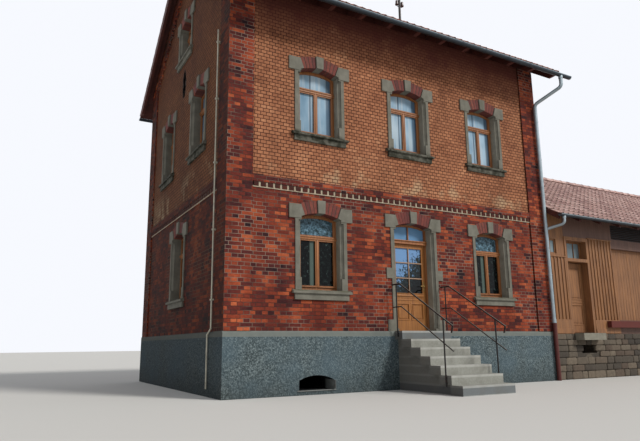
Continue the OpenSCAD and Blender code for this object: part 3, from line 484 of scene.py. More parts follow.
def clay(name, tile, slope, first_x, tints, roughness=0.78):
    """Fired clay, each laid tile with its own tint, a painted shadow just below each tile's foot and a
    painted highlight along the foot.
    """
    finish = Finish(name, roughness, specular=0.5)
    width, gauge = tile
    row = finish.over(finish.distance(finish.y, wall_middle), gauge * math.cos(slope))
    own = finish.random_per(finish.over(finish.minus(finish.x, first_x), width), row)
    face = finish.ramp(own, stops(*tints))
    face = finish.mix(finish.patches(7, 5, 0.52, 0.72, 0, 0.4), face, tone(116, 98, 88))
    within = finish.math("FRACT", row)
    # Painted shadow just below each tile's foot and painted highlight along the foot.
    lap = finish.times(finish.range(within, 0.04, 0.24, 0.5, 1.0), finish.range(within, 0.7, 0.95, 1.0, 1.18))
    finish.grain(60, 3, 0.002)
    return finish.paint(finish.shaded(face, lap))


def sheet_zinc(name, tints, below=1.0):
    """Streaked zinc, darker on its undersides as painted shade. Below is how bright the undersides are left.
    """
    finish = Finish(name, 0.42, metallic=0.55)
    face = finish.ramp(finish.noise(6, 5), stops(*tints))
    streak = finish.patches(10, 4, 0.55, 0.8, 0, 0.4, (1, 1, 0.12))
    face = finish.mix(streak, face, tone(120, 124, 120))
    finish.grain(30, 3, 0.0015)
    # Painted shade on the undersides.
    return finish.paint(finish.shaded(face, finish.range(finish.normal[2], -0.1, -0.7, 1.0, below)))


def painted_iron(name, colour, roughness, painted_top_highlight=0.0):
    """Paint on iron with a little rust, and a painted highlight on the upper side where asked."""
    finish = Finish(name, roughness, metallic=0.2)
    face = finish.mix(finish.noise(8, 3), tone(*colour), tone(*[c * 0.75 for c in colour]))
    face = finish.mix(finish.patches(16, 5, 0.55, 0.75, 0, 0.35), face, tone(92, 48, 30))
    # Pale painted highlight on the upward faces, where asked.
    if painted_top_highlight:
        face = finish.mix(finish.times(finish.facing_up(), painted_top_highlight), face, tone(178, 176, 168))
    finish.grain(60, 3, 0.001)
    return finish.paint(face)


def glazed_bell(name, colour):
    finish = Finish(name, 0.25, specular=0.6)
    return finish.paint(finish.mix(finish.noise(30, 3), tone(*colour), tone(*[c * 0.72 for c in colour])))


def pale_bars():
    # Paler than the door's oak: partly the bars' own paint, partly painted highlight.
    finish = Finish("pale bar paint with painted highlight", 0.6)
    return finish.paint(finish.mix(finish.noise(30, 4), tone(176, 152, 134), tone(146, 116, 92)))


def brass():
    finish = Finish("dull brass", 0.35, metallic=0.9)
    finish.grain(80, 2, 0.0004)
    return finish.paint(finish.mix(finish.noise(20, 3), tone(176, 148, 92), tone(130, 104, 62)))


def window_glass():
    """Painted shade of dark rooms with painted tree reflections behind the ground storey, painted sky
    reflection in its arched lights, a pale painted reflection on the shed's lights, and pale blinds behind
    the upper one that stand partly for painted sky reflection.
    """
    finish = Finish("window glass", 0.04, specular=0.14)
    spacing = front_axes[1] - front_axes[0]
    bay = finish.plus(finish.over(finish.minus(finish.x, front_axes[0]), spacing), 0.5)
    offset = finish.times(finish.minus(finish.math("FRACT", bay), 0.5), spacing)

    # Painted reflection of trees, used in the lower panes and the arched lights.
    painted_tree_reflection = finish.noise(13, 6, roughness=0.75)
    # Painted shade of the dark rooms, with pale painted tree reflections.
    room_shade_and_reflection = finish.ramp(painted_tree_reflection, [(0.5, tone(9, 12, 13)), (0.6, tone(24, 34, 32)), (0.7, tone(104, 126, 124))])
    curtain = finish.between(offset, -0.17, -0.14, -0.07, -0.04)
    room_shade_and_reflection = finish.mix(finish.times(curtain, 0.5), room_shade_and_reflection, tone(112, 132, 124))
    # Painted sky reflection in the arched lights, bluer over the door.
    sky = finish.ramp(painted_tree_reflection, [(0.42, tone(40, 56, 60)), (0.54, tone(84, 114, 130)),
                               (0.66, tone(136, 172, 194))])
    over_door = finish.range(finish.distance(finish.x, door_axis), 0.56, 0.54)
    sky = finish.mix(over_door, sky, tone(106, 150, 190))
    lower = finish.mix(finish.range(finish.z, plinth_top + 1.9, plinth_top + 1.94), room_shade_and_reflection, sky)
    # Pale painted reflection on the shed's lights.
    painted_haze_reflection = finish.mix(finish.noise(4, 3), tone(140, 156, 162), tone(106, 122, 130))
    lower = finish.mix(finish.range(finish.x, shed_left, shed_left + 0.01), lower, painted_haze_reflection)

    # Pale blue blinds, partly standing for painted sky reflection.
    cloth = finish.noise(1.6, 3, (1, 1, 0.6))
    blind_and_sky_reflection = finish.ramp(cloth, [(0.3, tone(116, 148, 172)), (0.7, tone(172, 200, 220))])
    folds = finish.patches(9, 2, 0.5, 0.62, 0, 0.4, (2.2, 2.2, 0.1))
    blind_and_sky_reflection = finish.mix(folds, blind_and_sky_reflection, tone(206, 214, 216))
    strip = finish.between(offset, -0.15, -0.13, -0.11, -0.09)
    gaps = finish.times(finish.plus(finish.range(offset, 0.27, 0.3), strip), 0.7)
    upper = finish.mix(gaps, blind_and_sky_reflection, tone(36, 60, 84))
    finish.grain(2.2, 2, 0.003)
    storey = finish.range(finish.z, plinth_top + 2.6, plinth_top + 4.0)
    return finish.paint(finish.mix(storey, lower, upper))


def door_glass():
    """The door's panes mirror open sky at the top and a dark fir lower down."""
    finish = Finish("door glass", 0.04, specular=0.25)
    climb = finish.range(finish.z, plinth_top + 0.86, plinth_top + 1.95, 0.26, -0.18)
    side = finish.range(finish.x, -0.33, 0.43, -0.16, 0.12)
    needles = finish.plus(finish.noise(17, 6, roughness=0.8), finish.plus(climb, side))
    return finish.paint(finish.ramp(needles, [(0.47, tone(112, 152, 198)), (0.52, tone(36, 50, 52)),
                                              (0.72, tone(10, 13, 14))]))


def deselect():
    bpy.ops.object.select_all(action="DESELECT")


def choose(piece):
    """Makes the piece the only selected and active one."""
    deselect()
    piece.select_set(True)
    bpy.context.view_layer.objects.active = piece


def edit_all():
    """Edit mode, with everything in the mesh selected."""
    bpy.ops.object.mode_set(mode="EDIT")
    bpy.ops.mesh.select_all(action="SELECT")


def pick(piece, kind, test):
    """Leaves the piece in edit mode with the faces or edges that pass the test selected."""
    bpy.context.tool_settings.mesh_select_mode = (False, kind == "EDGE", kind == "FACE")
    bpy.ops.object.mode_set(mode="EDIT")
    bpy.ops.mesh.select_all(action="DESELECT")
    bpy.ops.object.mode_set(mode="OBJECT")
    points = piece.data.vertices
    for item in {"FACE": piece.data.polygons, "EDGE": piece.data.edges}[kind]:
        middle = sum((points[i].co for i in item.vertices), Vector()) / len(item.vertices)
        item.select = test(middle, item)
    bpy.ops.object.mode_set(mode="EDIT")


def done():
    bpy.ops.object.mode_set(mode="OBJECT")


def extrude(across, along, up):
    bpy.ops.mesh.extrude_region_move(TRANSFORM_OT_translate={"value": (across, along, up)})


def settle(name):
    """Names the new primitive and puts its place, turn and size into its mesh."""
    bpy.ops.object.transform_apply(location=True, rotation=True, scale=True)
    piece = bpy.context.object
    piece.name = name
    return piece


def block(name, low, high, ease=0.0, steps=1):
    """A squared block between two corners, with its edges eased."""
    deselect()
    middle = [(a + b) / 2 for a, b in zip(low, high)]
    size = [b - a for a, b in zip(low, high)]
    bpy.ops.mesh.primitive_cube_add(size=1, location=middle, scale=size)
    piece = settle(name)
    if ease:
        edit_all()
        bpy.ops.mesh.bevel(offset=ease, segments=steps, affect="EDGES")
        done()
    return piece


def border(name, low, high, wood, ease):
    """A closed rectangular moulding that faces the front, with an opening through it."""
    piece = block(name, low, high)
    pick(piece, "FACE", lambda middle, face: abs(face.normal.y) > 0.9)
    bpy.ops.mesh.inset(thickness=wood)
    bpy.ops.mesh.bridge_edge_loops()
    done()

    def on_face(middle, edge):
        """Straight edges of the front face. The mitres at its corners stay sharp."""
        a, b = (piece.data.vertices[i].co for i in edge.vertices)
        in_front = abs(a.y - low[1]) < 1e-5 and abs(b.y - low[1]) < 1e-5
        return in_front and (abs(a.x - b.x) < 1e-5 or abs(a.z - b.z) < 1e-5)

    pick(piece, "EDGE", on_face)
    bpy.ops.mesh.bevel(offset=ease, segments=2, affect="EDGES")
    done()
    return piece


def tube(name, start, end, radius, sides=20):
    """A round bar between two points with eased ends."""
    deselect()
    start, end = Vector(start), Vector(end)
    run = end - start
    turn = run.to_track_quat("Z", "Y").to_euler()
    bpy.ops.mesh.primitive_cylinder_add(vertices=sides, radius=radius, depth=run.length,
                                        location=(start + end) / 2, rotation=turn)
    piece = settle(name)
    pick(piece, "FACE", lambda middle, face: len(face.vertices) == sides)
    bpy.ops.mesh.inset(thickness=radius * 0.3)
    done()
    return piece


def disc(name, radius, sides, place=(0, 0, 0), turn=(0, 0, 0)):
    """A filled circle with its face selected, from which a round shape is drawn out."""
    deselect()
    bpy.ops.mesh.primitive_circle_add(vertices=sides, radius=radius, fill_type="NGON", location=place,
                                      rotation=turn)
    piece = settle(name)
    pick(piece, "FACE", lambda middle, face: True)
    return piece


def close_up():
    """Merges doubled points, turns all faces outwards and leaves edit mode."""
    bpy.ops.mesh.select_all(action="SELECT")
    bpy.ops.mesh.remove_doubles(threshold=0.0001)
    bpy.ops.mesh.normals_make_consistent(inside=False)
    done()


def pipe(name, route, radius, bend, sides=20):
    """A round pipe through a few points, bent to an even curve at each corner."""
    route = [Vector(point) for point in route]
    way = (route[1] - route[0]).normalized()
    piece = disc(name, radius, sides, route[0], way.to_track_quat("Z", "Y").to_euler())
    at = route[0]
    for corner, after in zip(route[1:-1], route[2:]):
        onward = (after - corner).normalized()
        turn = way.angle(onward)
        reach = bend * math.tan(turn / 2)
        start = corner - way * reach
        axis = way.cross(onward).normalized()
        extrude(*(start - at))
        bpy.ops.mesh.spin(steps=6, angle=-turn, center=start + axis.cross(way) * bend, axis=axis)
        at = corner + onward * reach
        way = onward
    extrude(*(route[-1] - at))
    close_up()
    return piece


def thicken(piece, wall):
    """Gives an open skin its wall, on the inner side."""
    skin = piece.modifiers.new("thickness", "SOLIDIFY")
    skin.thickness = wall
    skin.offset = -1
    bpy.ops.object.modifier_apply(modifier=skin.name)


def repeat(piece, count, step):
    """Lays the piece out in an even row."""
    row = piece.modifiers.new("row", "ARRAY")
    row.count = count
    row.use_relative_offset = False
    row.use_constant_offset = True
    row.constant_offset_displace = step
    bpy.context.view_layer.objects.active = piece
    bpy.ops.object.modifier_apply(modifier=row.name)
    return piece


def join(name, pieces):
    deselect()
    for piece in pieces:
        piece.select_set(True)
    bpy.context.view_layer.objects.active = pieces[0]
    if len(pieces) > 1:
        bpy.ops.object.join()
    pieces[0].name = name
    pieces[0].data.name = name
    return pieces[0]


def copied(piece, moves, tints=None):
    """Copies of one modelled piece, each with its own mesh, moved into place, and the model removed."""
    copies = []
    for move in moves:
        copy = piece.copy()
        copy.data = piece.data.copy()
        copy.data.transform(move)
        bpy.context.scene.collection.objects.link(copy)
        if tints:
            own = copy.data.attributes.new("tint", "FLOAT", "POINT")
            own.data.foreach_set("value", [tints.random()] * len(copy.data.vertices))
        copies.append(copy)
    bpy.data.objects.remove(piece)
    return copies


def fitted(piece, material, body="building", smooth=None):
    """Gives a finished piece its material, its body and the slot it takes its finish from."""
    piece.data.materials.clear()
    piece.data.materials.append(material)
    if smooth:
        choose(piece)
        bpy.ops.object.shade_smooth_by_angle(angle=math.radians(smooth))
    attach(piece, body)
    return piece


def dress(material, *names):
    """Gives the frame's own solids their finish."""
    for name in names:
        slots = nodes[name].data.materials
        slots.clear()
        slots.append(material)


def on_wall(x, y, height, turn):
    """The place of an opening modelled at the origin, facing the front, once turned to its wall."""
    return Matrix.Translation((x, y, plinth_top + height)) @ Matrix.Rotation(turn, 4, "Z")


def on_front(x, height=0.0):
    return on_wall(x, 0, height, 0)


def on_left(y, height=0.0):
    return on_wall(front_left, y, height, -math.pi / 2)


def on_right(y, height=0.0):
    return on_wall(front_right, y, height, math.pi / 2)


def on_back(x, height=0.0):
    return on_wall(x, depth, height, math.pi)


windows = {
    lower_jamb: [on_front(x, lower_sill) for x in (front_axes[0], front_axes[2])]
    + [on_left(wall_middle, lower_sill)] + [on_back(x, lower_sill) for x in front_axes],
    upper_jamb: [on_front(x, upper_sill) for x in front_axes]
    + [on_left(y, upper_sill) for y in gable_axes] + [on_back(x, upper_sill) for x in front_axes],
    attic_jamb: [on_left(wall_middle, attic_sill), on_right(wall_middle, attic_sill)],
}


def arch_bricks(half_width, jamb, places):
    """Bricks on edge, wedge by wedge, from the keystone to the imposts of each opening of one width."""
    rise, thick, ring, half_key, between_imposts = 0.1, 0.079, 0.26, 0.089, 0.842
    radius = (half_width ** 2 + rise ** 2) / (2 * rise)
    centre = jamb + 0.044 + rise - radius
    end = math.asin(between_imposts * half_width / radius)
    key = math.asin(half_key / (radius + ring / 2))
    brick = block("arch_brick", (-0.034, -0.013, radius - 0.003), (0.034, 0.196, radius + ring + 0.001))
    pick(brick, "FACE", lambda middle, face: face.normal.z > 0.9)
    bpy.ops.transform.resize(value=(1.2, 1, 1), center_override=(0, 0.09, radius + ring))
    bpy.ops.mesh.select_all(action="SELECT")
    bpy.ops.mesh.bevel(offset=0.004, segments=1, affect="EDGES")
    done()
    count = round((end - key) * radius / thick)
    pitch = (end - key - 0.004) / count
    moves = []
    for place in places:
        for side in (-1, 1):
            for i in range(count):
                angle = side * (key + 0.002 + (i + 0.5) * pitch)
                moves.append(place @ Matrix.Translation((0, 0, centre)) @ Matrix.Rotation(angle, 4, "Y"))
    return copied(brick, moves, random.Random(int(jamb * 1000)))


def glazing_beads(jamb, places):
    """Beads round each pane, a cover strip where the casements meet, drip bars and the transom's moulding."""
    transom, face, proud, lap = jamb * 0.742, 0.188, 0.004, 0.005
    inner, outer, low, high = 0.038, 0.398, 0.105, transom - 0.032
    parts = []
    for side in (-1, 1):
        x0, x1 = sorted((side * inner, side * outer))
        parts.append(border("bead", (x0 - lap, face - 0.005, low - lap), (x1 + lap, face + 0.02, high + lap),
                            0.012, 0.004))
        parts.append(block("drip_bar", (x0 - 0.02, face - 0.02, 0.074),
                           (x1 + 0.02, face + proud, 0.092), 0.007, 2))
    parts.append(block("cover_strip", (-0.017, face - 0.012, 0.076), (0.017, face + proud, transom - 0.008),
                       0.006, 2))
    parts.append(block("transom_cap", (proud - half_window, face - 0.03, transom + 0.034),
                       (half_window - proud, face - 0.01, transom + 0.056), 0.007, 2))
    return copied(join("window_joinery", parts), places)


def cut_at_ridge(piece, short):
    """Trims the upper end of a slope upright, a little short of the ridge line."""
    choose(piece)
    edit_all()
    bpy.ops.mesh.bisect(plane_co=(0, wall_middle - short, 0), plane_no=(0, 1, 0),
                        clear_outer=True, use_fill=True)
    done()


def on_both_slopes(name, piece, eave, long, material):
    """The piece on the front slope, joined with its double, turned round, on the back slope."""
    half_turn = Matrix.Translation((eave[0] * 2 + long, depth, 0)) @ Matrix.Rotation(math.pi, 4, "Z")
    return fitted(join(name, copied(piece, [Matrix.Identity(4), half_turn])), material)


def roof_tiles(name, tile_size, columns, rows, slope, eave, material):
    """Interlocking clay tiles in even rows: flat pans with a rolled edge, each foot on the tile below."""
    deselect()
    width, gauge = tile_size
    length, foot, lip, wall = gauge + 0.04, 0.03, 0.04, 0.015
    bpy.ops.mesh.primitive_plane_add(size=1, location=(lip / 2 - width / 2, length / 2, 0))
    bpy.context.object.scale = (lip, length, 1)
    tile = settle(name)
    pick(tile, "EDGE", lambda middle, edge: middle.x > lip - width / 2 - 0.01)
    roll = ((0.05, 0), (0.05, 0), (0.016, 0.016), (0.016, 0.008), (0.016, -0.008))
    rest = width - lip - sum(across for across, up in roll)
    for across, up in roll + ((rest, -0.016),):
        extrude(across, 0, up)
    done()
    thicken(tile, wall)
    lean = Matrix.Rotation(-math.atan((foot - 0.004) / length), 4, "X")
    tile.data.transform(Matrix.Translation(eave) @ Matrix.Rotation(slope, 4, "X")
                        @ Matrix.Translation((width / 2, 0, foot)) @ lean)
    repeat(tile, columns, (width, 0, 0))
    repeat(tile, rows, (0, gauge * math.cos(slope), gauge * math.sin(slope)))
    cut_at_ridge(tile, 0.03)
    return on_both_slopes(name, tile, eave, columns * width, material)


def tile_bed(name, long, thick, slope, eave, material):
    """The battens and mortar under the tiles, seen at the verges and eaves."""
    run = (wall_middle - eave[1]) / math.cos(slope)
    bed = block(name, (0, 0.03, -thick), (long, run, 0), 0.004)
    bed.data.transform(Matrix.Translation(eave) @ Matrix.Rotation(slope, 4, "X"))
    cut_at_ridge(bed, 0.002)
    on_both_slopes(name, bed, eave, long, material)


def ridge_caps(name, radius, start, end, centre, count, material):
    """Half round ridge tiles, each with a raised collar over the next one."""
    deselect()
    step = (end - start) / count
    length = step - 0.045
    bpy.ops.mesh.primitive_cylinder_add(vertices=20, radius=radius, depth=length, end_fill_type="NOTHING",
                                        location=(start + length / 2, wall_middle, centre),
                                        rotation=(0, math.pi / 2, 0))
    cap = settle(name)
    edit_all()
    bpy.ops.mesh.bisect(plane_co=(0, 0, centre), plane_no=(0, 0, 1), clear_inner=True)
    done()
    far_end = start + length
    pick(cap, "EDGE", lambda middle, edge: middle.x > far_end - 0.01)
    extrude(0, 0, 0)
    bpy.ops.transform.resize(value=(1, 1.08, 1.08), center_override=(far_end, wall_middle, centre))
    extrude(0.06, 0, 0)
    done()
    thicken(cap, 0.014)
    return fitted(repeat(cap, count, (step, 0, 0)), material, smooth=40)


def batten_row(count, low, high, step):
    """Cover battens with rounded fronts, in an even row."""
    return repeat(block("batten", low, high, 0.008, 2), count, step)


def shed_battens():
    """The battens of the boarded walls, with their skirt boards and ledges."""
    proud, width, into, ease = 0.024, 0.044, 0.002, 0.006
    start, end, first_batten = shed_left + 0.054, shed_right - into, shed_left + 0.12
    door_left, door_right, goods_left, goods_right = 5.308, 6.302, 7.368, 9.112
    foot, skirt, ledge = plinth_top - 0.055, plinth_top + 0.32, plinth_top + 2.0
    head, eaves = plinth_top + 2.6, plinth_top + 3.2
    back = depth - shed_face
    parts = []
    for first, last, top in ((first_batten, shed_left + 0.8, ledge), (6.36, 7.34, head), (9.18, 14.9, head)):
        count = int((last - first) / board_pitch) + 1
        parts.append(batten_row(count, (first, shed_face - proud, skirt - 0.004),
                                (first + width, shed_face + into, top), (board_pitch, 0, 0)))
    for first, last in ((start, door_left), (door_right, goods_left), (goods_right, end)):
        parts.append(block("skirt", (first, shed_face - 0.03, foot), (last, shed_face + into, skirt), ease))
        parts.append(block("skirt_foot", (first, shed_face - 0.042, foot),
                           (last, shed_face - 0.02, plinth_top + 0.075), ease))
    parts.append(block("ledge", (start, shed_face - 0.04, ledge),
                       (door_left, shed_face + into, ledge + 0.036), ease))
    parts.append(block("head_rail", (door_right, shed_face - 0.034, head - 0.01),
                       (goods_left, shed_face + into, head + 0.03), ease))
    parts.append(batten_row(77, (first_batten, back - into, skirt - 0.004),
                            (first_batten + width, back + proud, eaves), (board_pitch, 0, 0)))
    parts.append(block("skirt", (start, back - into, foot), (end, back + 0.03, skirt), ease))
    gable = batten_row(50, (shed_right - into, shed_face + 0.02, skirt - 0.004),
                       (shed_right + proud, shed_face + 0.02 + width, plinth_top + 6.0), (0, board_pitch, 0))
    for lean, edge in ((-1, 0.0), (1, depth)):
        edit_all()
        bpy.ops.mesh.bisect(plane_co=(shed_right, edge, eaves),
                            plane_no=(0, lean * math.sin(shed_pitch), math.cos(shed_pitch)),
                            clear_outer=True, use_fill=True)
        done()
    parts.append(gable)
    parts.append(block("skirt", (shed_right - into, shed_face, foot), (shed_right + 0.03, back, skirt), ease))
    return join("shed_battens", parts)


def rubble(seed):
    """Roughly squared stones in uneven courses, a few shapes turned out again and again at other sizes."""
    chance = random.Random(seed)
    shapes = []
    for i in range(4):
        shape = block("stone", (-0.5, -0.5, -0.5), (0.5, 0.5, 0.5), 0.14, 2)
        edit_all()
        bpy.ops.transform.vertex_random(offset=0.05, seed=i + 1)
        done()
        shapes.append(shape)
    front, back, end = 0.02, depth - 0.02, shed_right + 0.04
    left, top, gap = shed_left + 0.06, plinth_top - 0.062, 0.014
    walls = ((0, front, left, end), (math.pi, back, left, end), (math.pi / 2, end, front, back))
    moves = [[] for _ in shapes]
    for turn, line, start, stop in walls:
        level = 0.0
        for height in (0.2, 0.17, 0.19, 0.15, 0.16, 0.15, top - 1.02):
            at = start
            while at < stop - 0.02:
                long = min(chance.uniform(0.22, 0.52), stop - at)
                if stop - at - long < 0.12:
                    long = stop - at
                middle, rise = at + long / 2, level + height / 2
                at_vent = line == front and 5.5 < middle < 6.32 and 0.62 < rise < 0.93
                at_slab = line == front and 5.3 < middle < 6.35 and rise > 0.96
                if not at_vent and not at_slab:
                    thick = chance.uniform(0.05, 0.09)
                    x, y = (end, middle) if line == end else (middle, line)
                    size = Matrix.Diagonal((long - gap, thick, height - gap, 1))
                    moves[chance.randrange(len(shapes))].append(on_wall(x, y, rise - plinth_top, turn) @ size)
                at += long
            level += height
    stones = []
    for shape, places in zip(shapes, moves):
        stones += copied(shape, places, chance)
    return join("base_stones", stones)


def band_details():
    """Cream bars in the recesses between the red dentils, and the white course under them."""
    parts = []
    rows = ((on_front(0), 7.88, 50), (on_back(0), 7.88, 50), (on_left(wall_middle), 5.8, 37))
    for place, long, count in rows:
        step, half = long / count, long / 2
        bar = block("bar", (step - half - 0.024, -0.013, band_foot + 0.03),
                    (step - half + 0.024, 0.002, band_foot + 0.124), 0.002)
        line = block("line", (-half, -0.017, band_foot + 0.004), (half, -0.01, band_foot + 0.0305), 0.002)
        parts += copied(join("band", [repeat(bar, count - 1, (step, 0, 0)), line]), [place])
    return join("band_bars", parts)


main_gutter_top = plinth_top + 7.27 - main_reach * math.tan(roof_pitch) + 0.165 / math.cos(roof_pitch) - 0.002
shed_gutter_top = plinth_top + 3.21 - shed_reach * math.tan(shed_pitch) + 0.125 / math.cos(shed_pitch) - 0.006
main_gutter_out, shed_gutter_out = main_reach + 0.045, shed_reach + 0.04


def gutter_trim():
    """Rolled front edges of the gutters."""
    house = (main_gutter_out + 0.07 * 0.94, main_gutter_top - 0.004)
    shed = (shed_gutter_out + 0.062 * 0.94, shed_gutter_top - 0.004)
    shed_ends = (shed_left + 0.037, shed_right + 0.2)
    runs = (((verge, front_right + 0.66), -house[0], house[1]),
            ((verge, front_right + 0.29), depth + house[0], house[1]),
            (shed_ends, -shed[0], shed[1]),
            (shed_ends, depth + shed[0], shed[1]))
    return join("gutter_edges", [tube("rolled_edge", (start, lip, level), (end, lip, level), 0.008, 8)
                                 for (start, end), lip, level in runs])


def rain_pipes():
    """The two swan necks and the downpipe they feed, with soldered sockets and wall clamps."""
    x, y, shoe = front_right - 0.03, -0.112, 0.215
    outlet, top = front_right + 0.28, main_gutter_top - 0.05
    shed_outlet, shed_top = shed_left + 0.19, shed_gutter_top - 0.045
    parts = [
        pipe("pipe", ((outlet, -main_gutter_out, top), (outlet, -main_gutter_out, top - 0.3),
                      (x, y, plinth_top + 6.23), (x, y, plinth_top + shoe)), 0.048, 0.14),
        pipe("pipe", ((shed_outlet, -shed_gutter_out, shed_top),
                      (shed_outlet, -shed_gutter_out, shed_top - 0.2),
                      (x + 0.02, y - 0.02, plinth_top + 2.69)), 0.038, 0.1),
        tube("funnel", (outlet, -main_gutter_out, top + 0.01), (outlet, -main_gutter_out, top - 0.07), 0.058),
        tube("funnel", (shed_outlet, -shed_gutter_out, shed_top + 0.01),
             (shed_outlet, -shed_gutter_out, shed_top - 0.06), 0.047),
    ]
    collars = ((shoe, 0.058), (0.27, 0.054), (0.9, 0.052), (2.1, 0.052), (2.76, 0.053), (4.6, 0.052))
    for height, radius in collars:
        level = plinth_top + height
        parts.append(tube("collar", (x, y, level), (x, y, level + 0.04), radius))
    for height in (1.45, 3.6, 5.7):
        level = plinth_top + height
        parts.append(tube("clamp", (x, y, level), (x, y, level + 0.03), 0.054))
        parts.append(block("clamp_pin", (x - 0.006, y, level + 0.004),
                           (x + 0.006, -0.036, level + 0.026), 0.002))
    return join("rain_pipes", parts)


def door_joinery():
    """Raised fields, mouldings and rails of the front door's leaf."""
    face, half, inner, level = 0.225, 0.375, 0.03, plinth_top
    parts = []
    for side in (-1, 1):
        x0, x1 = sorted((door_axis + side * inner, door_axis + side * half))
        parts.append(border("moulding", (x0 - 0.008, face - 0.009, level + 0.242),
                            (x1 + 0.008, face + 0.011, level + 0.638), 0.026, 0.006))
        parts.append(block("field", (x0 + 0.042, face + 0.001, level + 0.29),
                           (x1 - 0.042, face + 0.014, level + 0.59), 0.01, 1))
    for low, high, out in ((0.786, 0.822, 0.02), (0.696, 0.716, 0.01), (0.752, 0.764, 0.007)):
        ease = min(0.008, out / 2 - 0.001)
        parts.append(block("rail", (door_axis - half - 0.02, face - out, level + low),
                           (door_axis + half + 0.02, face + 0.001, level + high), ease, 2))
    parts.append(border("glass_moulding", (door_axis - half - 0.012, face - 0.009, level + 0.848),
                        (door_axis + half + 0.012, face + 0.012, level + 1.912), 0.016, 0.005))
    return join("front_door_joinery", parts)


def door_bars():
    """Slim bars that part the door's six panes."""
    face, half, thick = 0.219, 0.373, 0.011
    parts = [block("bar", (door_axis - thick, face, plinth_top + 0.862),
                   (door_axis + thick, face + 0.014, plinth_top + 1.898), 0.004, 2)]
    for height in (1.2025, 1.5575):
        parts.append(block("bar", (door_axis - half, face + 0.001, plinth_top + height - thick),
                           (door_axis + half, face + 0.013, plinth_top + height + thick), 0.004, 2))
    return join("front_door_bars", parts)


def door_transom():
    """Moulded cap and drip under the light over the front door."""
    half, back = 0.512, 0.176
    mouldings = (("cap", 0.148, 2.056, 2.082, 0.009), ("drip", 0.16, 1.992, 2.008, 0.005))
    parts = []
    for name, front, low, high, ease in mouldings:
        parts.append(block(name, (door_axis - half, front, plinth_top + low),
                           (door_axis + half, back, plinth_top + high), ease, 2))
    return join("door_transom", parts)


def shed_door_joinery():
    """Fields and mouldings of the shed's side door."""
    face, left, right, level = 0.26, 5.49, 6.12, plinth_top
    parts = []
    for low, high in ((0.18, 0.74), (0.88, 1.78)):
        parts.append(border("moulding", (left, face - 0.008, level + low - 0.01),
                            (right, face + 0.011, level + high + 0.01), 0.03, 0.006))
        parts.append(block("field", (left + 0.07, face + 0.001, level + low + 0.06),
                           (right - 0.07, face + 0.014, level + high - 0.06), 0.01, 1))
    parts.append(block("rail", (left - 0.07, face - 0.012, level + 0.79),
                       (right + 0.07, face + 0.001, level + 0.82), 0.005, 2))
    return join("shed_door_joinery", parts)


def leaf_boards(name, leaf):
    """Narrow boards with open joints on a sliding goods leaf."""
    start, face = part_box(leaf)[0].x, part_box(leaf)[0].y
    wide, gap, margin = 0.118, 0.01, 0.004
    board = block("board", (start + margin, face - 0.004, plinth_top + 0.304),
                  (start + margin + wide, face + 0.001, plinth_top + 2.436), 0.003)
    return join(name, [repeat(board, 7, (wide + gap, 0, 0))])


def cellar_vent():
    """Cement ledge and the little iron flap of the vent in the plinth."""
    return join("cellar_vent_trim", [block("ledge", (-2.98, -0.068, 0.07), (-2.11, -0.045, 0.092), 0.005, 2),
                                     block("flap", (-2.166, -0.14, 0.1), (-2.158, -0.046, 0.27), 0.002)])


def shed_sashes():
    """Fixed sashes of the two shed lights, parted by slim bars."""
    lights = ((5.39, 6.22, 2.0, 2.5, 0.272, 3), (4.57, 4.97, 2.09, 2.49, 0.107, 2))
    parts = []
    for x0, x1, low, high, face, panes in lights:
        foot, top = plinth_top + low, plinth_top + high
        parts.append(border("sash", (x0 + 0.001, face - 0.028, foot + 0.001), (x1 - 0.001, face, top - 0.001),
                            0.034, 0.006))
        for i in range(1, panes):
            x = x0 + (x1 - x0) * i / panes
            parts.append(block("bar", (x - 0.01, face - 0.022, foot + 0.03),
                               (x + 0.01, face, top - 0.03), 0.004, 2))
    return join("shed_sashes", parts)


def eaves_boards():
    """Boards that close the gaps between the rafters on top of the long walls."""
    low, high = plinth_top + 7.262, plinth_top + 7.456
    left, right = front_left + 0.05, front_right - 0.05
    return join("eaves_boards", [block("board", (left, y, low), (right, y + 0.022, high), 0.003)
                                 for y in (0.02, depth - 0.042)])


# The roof mast's foot on the front slope, and how far out its hooks and its crossbars' bells stand
mast_x, mast_y = 0.56, 0.8
hook_level, hook_reach, crossbar_reach = 9.83, 0.085, 0.29


def mast_hooks():
    """Two hooks low on the roof mast, each for its bell."""
    hooks = []
    for x in (mast_x - hook_reach, mast_x + hook_reach):
        route = ((mast_x, mast_y, hook_level), (x, mast_y, hook_level), (x, mast_y, hook_level + 0.12))
        hooks.append(pipe("hook", route, 0.008, 0.03, 8))
    return join("mast_hooks", hooks)


def bells(name, reach, levels):
    """Glazed bells on both sides of the roof mast, turned as on a lathe."""
    profile = ((0.037, 0.0), (0.046, 0.0), (0.048, 0.02), (0.038, 0.045), (0.041, 0.06), (0.036, 0.085),
               (0.037, 0.112), (0.026, 0.126))
    bell = disc("bell", profile[0][0], 16)
    for (wide, height), (before, below) in zip(profile[1:], profile):
        extrude(0, 0, height - below)
        bpy.ops.transform.resize(value=(wide / before, wide / before, 1), center_override=(0, 0, height))
    close_up()
    moves = [Matrix.Translation((mast_x + side * reach, mast_y, level))
             for side in (-1, 1) for level in levels]
    return join(name, copied(bell, moves))


